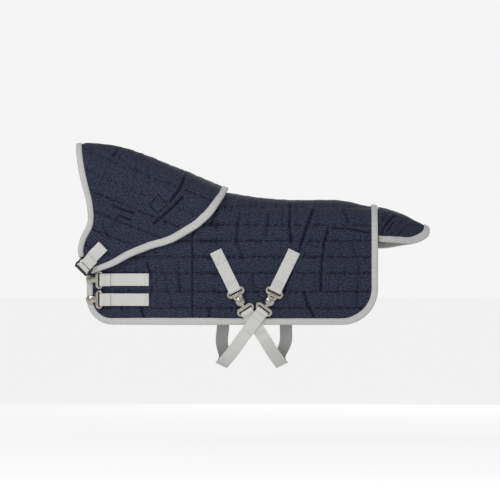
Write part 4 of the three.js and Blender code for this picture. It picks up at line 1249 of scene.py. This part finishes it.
def webbing(name, colour, pitch=1.5, strength=0.7, chevron=True):
    """Woven band: chevrons of thick yarn that meet at the middle, with closer selvages and faint wear."""
    n = Nodes(name)
    uv = n.uv()
    u, v = n.split(n.scaled(uv, TO_MM))
    side = n.math("ABSOLUTE", v)
    lean = n.math("ADD", u, n.math("MULTIPLY", n.math("PINGPONG", side, 2.5), 1.0 if chevron else 0.12))
    ribs = n.ribs(lean, pitch)
    fine = n.ribs(v, 0.55)
    soil = n.noise(uv, 30, 4)
    yarn = n.noise(n.scaled(uv, (900, 2200, 1)), 1.0, 2)
    base = n.colour(n.blend(ribs, 0.55, yarn, 0.45, True),
                    shade(colour, 0.76), shade(colour, 1.1))
    base = n.tinted(base, n.spread(soil, 0.0, 0.4), (0.9, 0.88, 0.84))
    height = n.math("ADD", ribs, n.math("MULTIPLY", fine, 0.3))
    normal = n.bump(height, strength, 0.00025)
    return n.finish(base, n.spread(soil, 0.78, 0.95), normal, Sheen_Weight=0.15, Sheen_Roughness=0.5,
                    Specular_IOR_Level=0.3)


def tape_cloth(name, colour):
    """Binding tape: fine ribs across it, gathered a little, and soft patches of wear."""
    n = Nodes(name)
    uv = n.uv()
    u, v = n.split(n.scaled(uv, TO_MM))
    ribs = n.ribs(u, 0.85)
    gather = n.noise(n.scaled(uv, (320, 45, 1)), 1.0, 3)
    soil = n.noise(uv, 26, 4)
    base = n.colour(n.blend(ribs, 0.4, gather, 0.6, True),
                    shade(colour, 0.8), shade(colour, 1.1))
    base = n.tinted(base, n.spread(soil, 0.0, 0.4), (0.88, 0.86, 0.82))
    height = n.blend(ribs, 0.35, gather, 2.2)
    return n.finish(base, n.spread(soil, 0.75, 0.92), n.bump(height, 0.8, 0.0003), Sheen_Weight=0.15,
                    Sheen_Roughness=0.5, Specular_IOR_Level=0.3)


def nickel(name, colour):
    """Plated steel: a bright plate with a cast's slight unevenness and hairline rubs."""
    n = Nodes(name)
    place = n.place()
    cast = n.noise(place, 420, 2)
    rubs = n.noise(n.scaled(place, (900, 900, 5000)), 1.0, 4)
    base = n.colour(cast, shade(colour, 0.75), shade(colour, 1.15))
    rough = n.spread(rubs, 0.16, 0.3)
    return n.finish(base, rough, n.bump(n.math("ADD", cast, n.math("MULTIPLY", rubs, 0.3)), 0.15, 0.0002),
                    Metallic=1.0)


def plastic(name, colour):
    """Moulded plastic: a fine grain, with patches rubbed a little paler."""
    n = Nodes(name)
    place = n.place()
    grain = n.noise(place, 3200, 2)
    rub = n.noise(place, 180, 4)
    base = n.colour(rub, shade(colour, 0.8), shade(colour, 1.5))
    return n.finish(base, n.spread(rub, 0.35, 0.55), n.bump(grain, 0.2, 0.0001), Specular_IOR_Level=0.45)


def thread_finish(name, colour, factor=1.0):
    """Thread: two plies wound round each other, drawn as a fine slanting wave."""
    n = Nodes(name)
    colour = shade(colour, factor)
    place = n.place()
    ply = n.add("ShaderNodeTexWave", {"Vector": place, "Scale": 900, "Distortion": 0.5},
                bands_direction="DIAGONAL").outputs["Fac"]
    tone = n.noise(place, 300, 2)
    base = n.colour(n.math("MULTIPLY", n.math("ADD", ply, tone), 0.5), shade(colour, 0.75),
                    shade(colour, 1.2))
    return n.finish(base, n.spread(tone, 0.55, 0.75), n.bump(ply, 0.4, 0.0001), Sheen_Weight=0.2)


# Each finish: what makes it, its material's name, its colour on the panel, and settings
MAKERS = {
    "shell": (herringbone, "quilted_shell", "shell"),
    "neck_shell": (herringbone, "neck_shell", "shell", 3.0, 9.0, math.radians(-38), 0.5, 0.35),
    "lining": (herringbone, "brushed_lining", "lining", 1.6, 4.0, 0.0, 0.3, 0.2),
    "binding": (tape_cloth, "binding_tape", "binding"),
    "webbing": (webbing, "strap_webbing", "webbing"),
    "elastic": (webbing, "elastic_webbing", "webbing", 1.9, 0.8, False),
    "nickel": (nickel, "plated_nickel", "nickel"),
    "plastic": (plastic, "black_plastic", "plastic"),
    "hook_patch": (plastic, "hook_patch", "plastic"),
    "pale_thread": (thread_finish, "pale_thread", "binding", 0.55),
    "dark_thread": (thread_finish, "dark_thread", "shell"),
}
FINISHES = {}


def finish_of(kind):
    """The finish of that name, made once from the panel's colours."""
    if kind not in FINISHES:
        make, name, colour, *settings = MAKERS[kind]
        FINISHES[kind] = make(name, tuple(getattr(bpy.context.scene.rug_colours, colour)), *settings)
    return FINISHES[kind]


def dress(obj, kinds, body_name, slot, *nodes):
    """Gives a piece its finishes and its body, and hides the CAD nodes it stands for; its slot is not used.
    """
    for kind in kinds:
        obj.data.materials.append(finish_of(kind))
    if nodes:
        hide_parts(*nodes)
    if body_name:
        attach(obj, body_name)
    return obj


# ---- Sizes and colours a user would change ----
class RugSizes(bpy.types.PropertyGroup):
    body_columns: bpy.props.IntProperty(name="Body columns", description="Grid columns along a body side",
                                        default=230, min=20)
    body_rows: bpy.props.IntProperty(name="Body rows", description="Grid rows down a body side", default=190,
                                     min=20)
    floor_gap: bpy.props.FloatProperty(name="Floor gap", description="Space under the lowest strap",
                                       default=0.09,
                                       unit="LENGTH", precision=4, min=0.0)


def colour_property(name, description, value):
    return bpy.props.FloatVectorProperty(name=name, description=description, subtype="COLOR", default=value,
                                         min=0, max=1)


class RugColours(bpy.types.PropertyGroup):
    shell: colour_property("Shell", "Quilted shell", (0.0142, 0.0160, 0.0280))
    lining: colour_property("Lining", "Inside of the quilts", (0.018, 0.020, 0.034))
    binding: colour_property("Binding", "Tape on the edges", (0.35, 0.35, 0.345))
    webbing: colour_property("Webbing", "Straps and elastics", (0.42, 0.42, 0.41))
    nickel: colour_property("Nickel", "Plates and buttons", (0.44, 0.415, 0.37))
    plastic: colour_property("Plastic", "Throat slide", (0.008, 0.008, 0.01))


def sizes():
    return bpy.context.scene.rug_sizes


SIDES = (("near", False), ("off", True))  # the off side is the near side mirrored


def stitched(x, a, lift, off):
    """A row of thread over the cloth and its ways out, on the near side or mirrored to the off side."""
    row, out = body.at(x, a, lift + THREAD_LIFT), body.normal(x, a)
    return (mirror(row), mirror(out)) if off else (row, out)


class BuildBody(bpy.types.Operator):
    """Quilted body sides with their rows of quilting thread"""

    bl_idname = "rug.body"
    bl_label = "Body"

    def execute(self, context):
        for side, off in SIDES:
            counts = (sizes().body_columns, sizes().body_rows)
            obj = quilt_piece(f"quilted_body_{side}", body_grid, body_surface, body_lining, counts, off,
                              body_relief)
            dress(obj, ["shell", "lining"], "rug", "shell", f"body_shell_{side}", f"body_wadding_{side}",
                  f"body_lining_{side}")
            rows = []
            for level in QUILT_LINES[1:-1]:
                x = np.arange(CHEST + 9, REAR - 8, 1.5)
                z = np.full_like(x, level)
                inside = (z < neckline(x) - 1) & (z > hemline(x) + 9) & (z < body.crest(x) - 2)
                if inside.sum() < 6:
                    continue
                x, z = x[inside], z[inside]
                a = body.around(x, z)
                rows.append(stitched(x, a, body_relief(x, a), off))
            thread = threads(f"body_quilting_{side}", rows, QUILTING)
            dress(thread, ["dark_thread"], "rug", "shell")
        return {"FINISHED"}


class BuildNeck(bpy.types.Operator):
    """Quilted neck cover sides"""

    bl_idname = "rug.neck"
    bl_label = "Neck cover"

    def execute(self, context):
        for side, off in SIDES:
            obj = quilt_piece(f"quilted_neck_{side}", neck_grid, neck_surface, neck_lining, (170, 190), off,
                              neck_relief)
            dress(obj, ["neck_shell", "lining"], "neck_cover", "shell", f"neck_shell_{side}",
                  f"neck_wadding_{side}",
                  f"neck_lining_{side}")
            rows = []
            for k in range(-14, 6):
                x = np.arange(POLL + 8, WITHERS - 4, 1.5)
                z = k * ROW_PITCH / math.cos(NECK_SLANT) - math.tan(NECK_SLANT) * x
                a = body.around(x, z)
                edge = np.minimum(to_edge(x, a, FRONT_EDGE), to_edge(x, a, BACK_EDGE))
                front = [[float(body.crest(p[0]) - body.depth(p[1])), p[0]] for p in NECK_FRONT[::-1]]
                fronts = np.interp(z, *np.array(front).T)
                inside = (z > neck_rear(x) + 2) & (z < body.crest(x) - 2) & (x > fronts) & (edge > 8.5)
                if inside.sum() < 6:
                    continue
                x, z, a = x[inside], z[inside], a[inside]
                rows.append(stitched(x, a, neck_outer(x, a) + neck_relief(x, a), off))
            corners = np.array([[0, 1], [1, 0], [0, -1], [-1, 0], [0, 1]]) * BOX_REACH + BOX
            x, z = even(corners, 40).T
            a = body.around(x, z)
            rows.append(stitched(x, a, neck_outer(x, a) + neck_relief(x, a), off))
            thread = threads(f"neck_quilting_{side}", rows, QUILTING)
            dress(thread, ["dark_thread"], "neck_cover", "shell")
        return {"FINISHED"}


class BuildTail(bpy.types.Operator):
    """Tail flap with its bound edge"""

    bl_idname = "rug.tail"
    bl_label = "Tail flap"

    def execute(self, context):
        obj = quilt_piece("quilted_tail_flap", tail_grid, tail_surface, tail_lining, (90, 150), False,
                          tail_relief)
        dress(obj, ["shell", "lining"], "tail_flap", "shell", "tail_flap_shell", "tail_flap_wadding",
              "tail_flap_lining")
        edge, seam_row = tape("tail_binding", tail_edge_path(), tail, lambda x, a, q: 0 * x,
                              lambda x, a: quilt_depth(tail_fill(x, a)), 6.0, 0, False, 31)
        dress(edge, ["binding"], "tail_flap", "binding", "tail_flap_binding")
        row = (seam_row, tail_thread_out(seam_row))
        dress(threads("tail_binding_thread", [row], EDGING), ["pale_thread"], "tail_flap", "binding")
        return {"FINISHED"}


def tail_thread_out(row):
    return np.stack([0.35 + 0 * row[:, 0], np.sign(row[:, 1]) * np.minimum(np.abs(row[:, 1]) / 12, 1),
                     0.5 + 0 * row[:, 0]], -1)


class BuildBindings(bpy.types.Operator):
    """Tape on the edges of the body and the neck cover, with its stitching"""

    bl_idname = "rug.bindings"
    bl_label = "Bindings"

    def execute(self, context):
        def body_depth(x, a):
            return quilt_depth(body_fill(x, a))

        def neck_depth(x, a):
            return quilt_depth(neck_fill(x, a))

        def neck_lift(x, a, q):
            return neck_outer(x, a)

        def body_lift(x, a, q):
            return 0 * x

        edges = [
            ("body_binding", body_edge_path(), body_lift, body_depth, 6.4, "rug", 11),
            ("neck_front_binding", neck_edge_path(FRONT_EDGE), neck_lift, neck_depth, 5.7, "neck_cover", 12),
            ("neck_rear_binding", neck_edge_path(BACK_EDGE[::-1]), neck_lift, neck_depth, 5.9, "neck_cover",
             13),
        ]
        for name, path, lift, depth, width, rides, seed in edges:
            for side, off in SIDES:
                obj, seam_row = tape(f"{name}_tape_{side}", path, body, lift, depth, width, SEAM, off, seed)
                dress(obj, ["binding"], rides, "binding", f"{name}_{side}")
                thread = threads(f"{name}_thread_{side}", [(seam_row, row_normals(seam_row))], EDGING)
                dress(thread, ["pale_thread"], rides, "binding")
        return {"FINISHED"}


class BuildChestStraps(bpy.types.Operator):
    """Two chest straps on each side, folded round their plates and sewn down"""

    bl_idname = "rug.chest_straps"
    bl_label = "Chest straps"

    def execute(self, context):
        for level, word in enumerate(("upper", "lower")):
            z = CHEST_STRAP - level * PITCH
            place = chest_place(level)
            path, wide = sewn_strap(CHEST_BAR, z, (1, 0), np.linspace(56, 1.5, 50), place, 11.0)
            for side, off in SIDES:
                flip_ = mirror if off else np.asarray
                obj = band(f"{word}_chest_strap_{side}", flip_(path), flip_(wide))
                dress(obj, ["webbing"], "rug", "webbing", f"chest_strap_{word}_{side}")
                rows = []
                for u, half, lift in ((53.5, 6.2, SEWN), (51.5, 6.2, SEWN), (9.4, 6.4, DOUBLED),
                                      (7.6, 6.4, DOUBLED)):
                    row = strap_row(CHEST_BAR, z, (1, 0), np.full(12, u), np.linspace(-half, half, 12), lift)
                    rows.append([flip_(part) for part in row])
                dress(threads(f"{word}_chest_thread_{side}", rows, STRAPPING), ["pale_thread"], "rug",
                      "webbing")
            dress(plate_piece(f"{word}_chest_dome_plate", place, True), ["nickel"], f"chest_dome_{word}",
                  "nickel",
                  f"chest_dome_plate_{word}")
            dress(plate_piece(f"{word}_chest_stud_plate", place, False, True), ["nickel"],
                  f"chest_stud_{word}", "nickel",
                  f"chest_stud_plate_{word}")
        return {"FINISHED"}


class BuildSurcingles(bpy.types.Operator):
    """Surcingle tabs, their plates, and the two crossed elastics under the belly"""

    bl_idname = "rug.surcingles"
    bl_label = "Surcingles"

    def execute(self, context):
        for word, away in (("front", -1), ("rear", 1)):
            place = tab_place(away)
            slope = (away * math.sin(TAB_TILT), math.cos(TAB_TILT))
            foot = (SURCINGLE + away * TAB_SPREAD / 2, HEM + TAB_FOOT)
            path, wide = sewn_strap(*foot, slope, np.linspace(TAB_LENGTH, 1.5, 40), place, 10.0)
            dress(band(f"{word}_surcingle_tab", path, wide), ["webbing"], "rug", "webbing",
                  f"surcingle_tab_{word}")
            half, low, high = 6.3, 35.5, 49.6  # the sewn box: half its width, and its ends from the bar
            rows = [strap_row(*foot, slope, np.full(12, u), np.linspace(-half, half, 12), lift)
                    for u, lift in ((high, SEWN), (low, SEWN), (8.6, DOUBLED), (7.0, DOUBLED))]
            for k in (-1, 1):
                rows.append(strap_row(*foot, slope, np.linspace(low, high, 14), np.full(14, half * k), SEWN))
                cross = np.linspace(-half, half, 16) * k
                rows.append(strap_row(*foot, slope, np.linspace(low, high, 16), cross, SEWN))
            dress(threads(f"{word}_tab_thread", rows, STRAPPING), ["pale_thread"], "rug", "webbing")
            dress(plate_piece(f"{word}_surcingle_dome_plate", place, True, wide=True), ["nickel"],
                  f"surcingle_dome_{word}", "nickel",
                  f"surcingle_dome_plate_{word}")
            line, across, down, lower = elastic_path(away)
            dress(plate_piece(f"{word}_surcingle_stud_plate", lower, False), ["nickel"],
                  f"surcingle_hanger_{word}",
                  "nickel", f"surcingle_stud_plate_{word}")
            strap = band(f"{word}_surcingle_elastic", line, across)
            rows = []
            for d in (11.0, 29.0, 31.0):
                height = elastic_rise(away, d) + WEB / 2 + 0.05
                seam = np.stack([np.full(12, -d), np.linspace(-6.3, 6.3, 12), np.full(12, height)], -1)
                rows.append((placed(seam, lower), np.tile(lower["out"], (12, 1))))
            strap = joined(strap, threads("seam", rows, STRAPPING))
            dress(strap, ["elastic", "pale_thread"], None, "elastic", f"surcingle_elastic_{word}",
                  f"surcingle_underband_{word}")
            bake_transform(strap)
        return {"FINISHED"}


def box_ring(half_x, half_y, centre_x, width, height, r=0.7):
    """A closed rounded bar round an oblong, lying in its own plane."""
    centre, inward = oblong(half_x, half_y, r, 7, centre_x)
    points, faces = ring_solid(centre, inward, rounded_box(width, height, 0.5, 4))
    return outward(points, faces)


class BuildThroat(bpy.types.Operator):
    """Throat tab, slide, loop and hook patch"""

    bl_idname = "rug.throat"
    bl_label = "Throat fastening"

    def execute(self, context):
        place = slide_place()
        front = -(SLIDE_BAR + SLIDE_FRONT)
        middle, half = (front + REAR_BAR) / 2, (REAR_BAR - front) / 2
        frame_ring = box_ring(half, SLIDE_LENGTH / 2 - 1.1, middle, SLIDE_BAR, SLIDE_BAR, 1.6)
        y = np.linspace(-SLIDE_LENGTH / 2 + 1.0, SLIDE_LENGTH / 2 - 1.0, 10)
        bars = []
        for x, wide_by in ((0, 0), (front - 0.35, 0.9)):
            section = rounded_box(SLIDE_BAR + wide_by, SLIDE_BAR + wide_by / 3, 0.6, 5)
            rings = np.stack([np.repeat(section[None, :, 0] + x, len(y), 0),
                              np.repeat(y[:, None], len(section), 1),
                              np.repeat(section[None, :, 1], len(y), 0)], -1)
            bars.append(outward(*tube_solid(rings)))
        points, faces = merge_solids([frame_ring, *bars])
        slide = make_mesh("throat_slide_frame", placed(points, place), faces)
        dress(slide, ["plastic"], "neck_cover", "plastic", "throat_slide")

        level = WEB / 2 - SLIDE_OUTER
        t = np.linspace(0, 1, 40)
        rest = [over_neck(REAR_BAR + k * TAB_REACH, PATCH_LIFT + PATCH + 0.8 + WEB / 2) for k in t]
        settle = smooth(t / 0.45)[:, None]
        inside = placed(np.stack([REAR_BAR + t * TAB_REACH, 0 * t, 0 * t + level], -1), place)
        flat = mix(inside, np.array([r["at"] for r in rest]), settle)
        wide = mix(place["across"][None], np.array([r["across"] for r in rest]), settle)
        radius = (SLIDE_EYE + SLIDE_OUTER) / 2
        turn = np.linspace(-math.pi / 2, -math.pi * 1.5 - 0.5, 18)
        over = np.stack([REAR_BAR + radius * np.cos(turn), 0 * turn, radius * np.sin(turn)], -1)
        t2 = np.linspace(0, 1, 9)[1:]
        fall = np.stack([mix(over[-1, 0], REAR_BAR + 9, t2), 0 * t2,
                         mix(over[-1, 2], level + WEB + 0.1, smooth(t2 * 1.5))], -1)
        turn_path = placed(np.vstack([over, fall]), place)
        path = np.vstack([flat[::-1], turn_path[1:]])
        across = np.vstack([wide[::-1], np.tile(place["across"], (len(turn_path) - 1, 1))])
        dress(band("throat_tab_strap", path, across), ["webbing"], "throat_tab", "webbing", "throat_tab")

        spots = REAR_BAR + TAB_REACH - np.linspace(12, 1.5, 10)
        patch = [over_neck(spot, PATCH_LIFT + PATCH / 2) for spot in spots]
        obj = band("throat_hook_strip", np.array([p["at"] for p in patch]),
                   np.array([p["across"] for p in patch]), STRAP - 2, PATCH)
        dress(obj, ["hook_patch"], "neck_cover", "hook_patch", "throat_hook_patch")

        flip_ = np.array([1, -1, 1])
        loop_x = -SLIDE_OUTER + WEB / 2

        def off_neck(d, above):
            return over_neck(d, above)["at"] * flip_

        down = [placed([[loop_x, 0, h]], place)[0] for h in (0.4, -SLIDE_OUTER)]
        turn = np.linspace(0.1, math.pi + 0.3, 14)
        over = placed(np.stack([-radius * np.cos(turn[::-1]), 0 * turn, radius * np.sin(turn[::-1])], -1),
                      place)
        curve = through([
            down[0], down[1], placed([[loop_x, 0, -SLIDE_OUTER - 2]], place)[0] * flip_,
            off_neck(loop_x, 0.2), off_neck(loop_x + 0.9, 1.9), off_neck(3.5, 2.7), off_neck(9, 3),
            off_neck(24, 2.4),
        ], 70)
        path = np.vstack([over, curve[2:]])
        dress(band("throat_loop_strap", path, np.tile(place["across"], (len(path), 1))), ["webbing"],
              "neck_cover", "webbing",
              "throat_loop")
        return {"FINISHED"}


FLOOR_REACH = 30.0
FLOOR_GREYS, FLOOR_GLOW = ((0.10,) * 3, (0.105,) * 3), 0.82
BACKDROP = (0.91, 0.91, 0.91, 1)
SKY_HEIGHTS, SKY_POWERS = (-0.35, 0.75), (0.42, 0.8)  # the light from all round grows with height
LAMPS = (  # name, place, size, power
    ("key", (-1.0, -1.0, 0.9), 0.7, 13),
    ("front", (-0.1, -2.6, -0.02), 0.9, 46),
    ("back", (0.5, 2.2, 0.5), 1.4, 22),
)
LAMP_AIM = (-0.06, 0, -0.06)
SENSOR, VIEW_DISTANCE, VIEW_WIDTH = 36, 10.0, 0.605
CAMERA_PLACE = (-0.0623, -VIEW_DISTANCE - 0.03, -0.0565)


def build_floor():
    r, low = FLOOR_REACH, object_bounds()[0][2] - sizes().floor_gap
    mesh = bpy.data.meshes.new("floor")
    mesh.from_pydata([(-r, -r, low), (r, -r, low), (r, r, low), (-r, r, low)], [], [(0, 1, 2, 3)])
    floor = linked("floor", mesh)
    n = Nodes("pale_floor")
    grey = n.colour(n.noise(n.place(), 3, 2), *FLOOR_GREYS)
    floor.data.materials.append(n.finish(grey, 1.0, None, Specular_IOR_Level=0.0, Emission_Color=(1, 1, 1, 1),
                                         Emission_Strength=FLOOR_GLOW))
    floor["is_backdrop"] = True


def build_world():
    """A pale backdrop for the camera, and a light from all round that is weaker from below."""
    world = bpy.data.worlds.new("studio")
    world.use_nodes = True
    tree = world.node_tree
    seen = tree.nodes["Background"]
    seen.inputs[0].default_value = BACKDROP
    lit = tree.nodes.new("ShaderNodeBackground")
    place = tree.nodes.new("ShaderNodeTexCoord")
    split = tree.nodes.new("ShaderNodeSeparateXYZ")
    fall = tree.nodes.new("ShaderNodeMapRange")
    fall.inputs["From Min"].default_value, fall.inputs["From Max"].default_value = SKY_HEIGHTS
    fall.inputs["To Min"].default_value, fall.inputs["To Max"].default_value = SKY_POWERS
    mixed = tree.nodes.new("ShaderNodeMixShader")
    path = tree.nodes.new("ShaderNodeLightPath")
    for start, end in (
        (place.outputs["Generated"], split.inputs[0]), (split.outputs[2], fall.inputs["Value"]),
        (fall.outputs[0], lit.inputs["Strength"]), (path.outputs["Is Camera Ray"], mixed.inputs[0]),
        (lit.outputs[0], mixed.inputs[1]), (seen.outputs[0], mixed.inputs[2]),
        (mixed.outputs[0], tree.nodes["World Output"].inputs[0]),
    ):
        tree.links.new(start, end)
    bpy.context.scene.world = world


def build_lamp(name, where, size, power):
    lamp = bpy.data.lights.new(name, "AREA")
    lamp.energy, lamp.size = power, size
    obj = linked(name, lamp)
    obj.location = where
    x, y, z = np.array(LAMP_AIM) - np.array(where)
    obj.rotation_euler = (math.atan2(math.hypot(x, y), -z), 0, math.atan2(y, x) - math.pi / 2)
    obj.visible_glossy = name != "front"


class BuildStage(bpy.types.Operator):
    """Floor, soft lights and camera"""

    bl_idname = "rug.stage"
    bl_label = "Stage"

    def execute(self, context):
        build_floor()
        build_world()
        for lamp in LAMPS:
            build_lamp(*lamp)
        camera = bpy.data.cameras.new("camera")
        camera.sensor_width = SENSOR
        camera.lens = SENSOR * VIEW_DISTANCE / VIEW_WIDTH
        camera.clip_end = 100
        obj = linked("camera", camera)
        obj.location = CAMERA_PLACE
        obj.rotation_euler = (math.pi / 2, 0, 0)
        context.scene.camera = obj
        context.scene.view_settings.view_transform = "Standard"
        return {"FINISHED"}


class RugPanel(bpy.types.Panel):
    """Sizes, colours and the steps that build the rug"""

    bl_idname = "VIEW3D_PT_pony_rug"
    bl_label = "Quilted Pony Rug"
    bl_space_type = "VIEW_3D"
    bl_region_type = "UI"
    bl_category = "Pony Rug"

    def draw(self, context):
        for group in (context.scene.rug_sizes, context.scene.rug_colours):
            box = self.layout.box()
            for key in group.__annotations__:
                box.prop(group, key)
        for operator in OPERATORS:
            self.layout.operator(operator.bl_idname)


OPERATORS = (BuildBody, BuildNeck, BuildTail, BuildBindings, BuildChestStraps, BuildSurcingles, BuildThroat,
             BuildStage)
CLASSES = (RugSizes, RugColours, *OPERATORS, RugPanel)


def register():
    for cls in CLASSES:
        bpy.utils.register_class(cls)
    bpy.types.Scene.rug_sizes = bpy.props.PointerProperty(type=RugSizes)
    bpy.types.Scene.rug_colours = bpy.props.PointerProperty(type=RugColours)


def unregister():
    del bpy.types.Scene.rug_colours
    del bpy.types.Scene.rug_sizes
    for cls in reversed(CLASSES):
        bpy.utils.unregister_class(cls)


def main():
    register()
    for build in (bpy.ops.rug.body, bpy.ops.rug.neck, bpy.ops.rug.tail, bpy.ops.rug.bindings,
                  bpy.ops.rug.chest_straps,
                  bpy.ops.rug.surcingles, bpy.ops.rug.throat, bpy.ops.rug.stage):
        build()


if __name__ == "__main__":
    main()
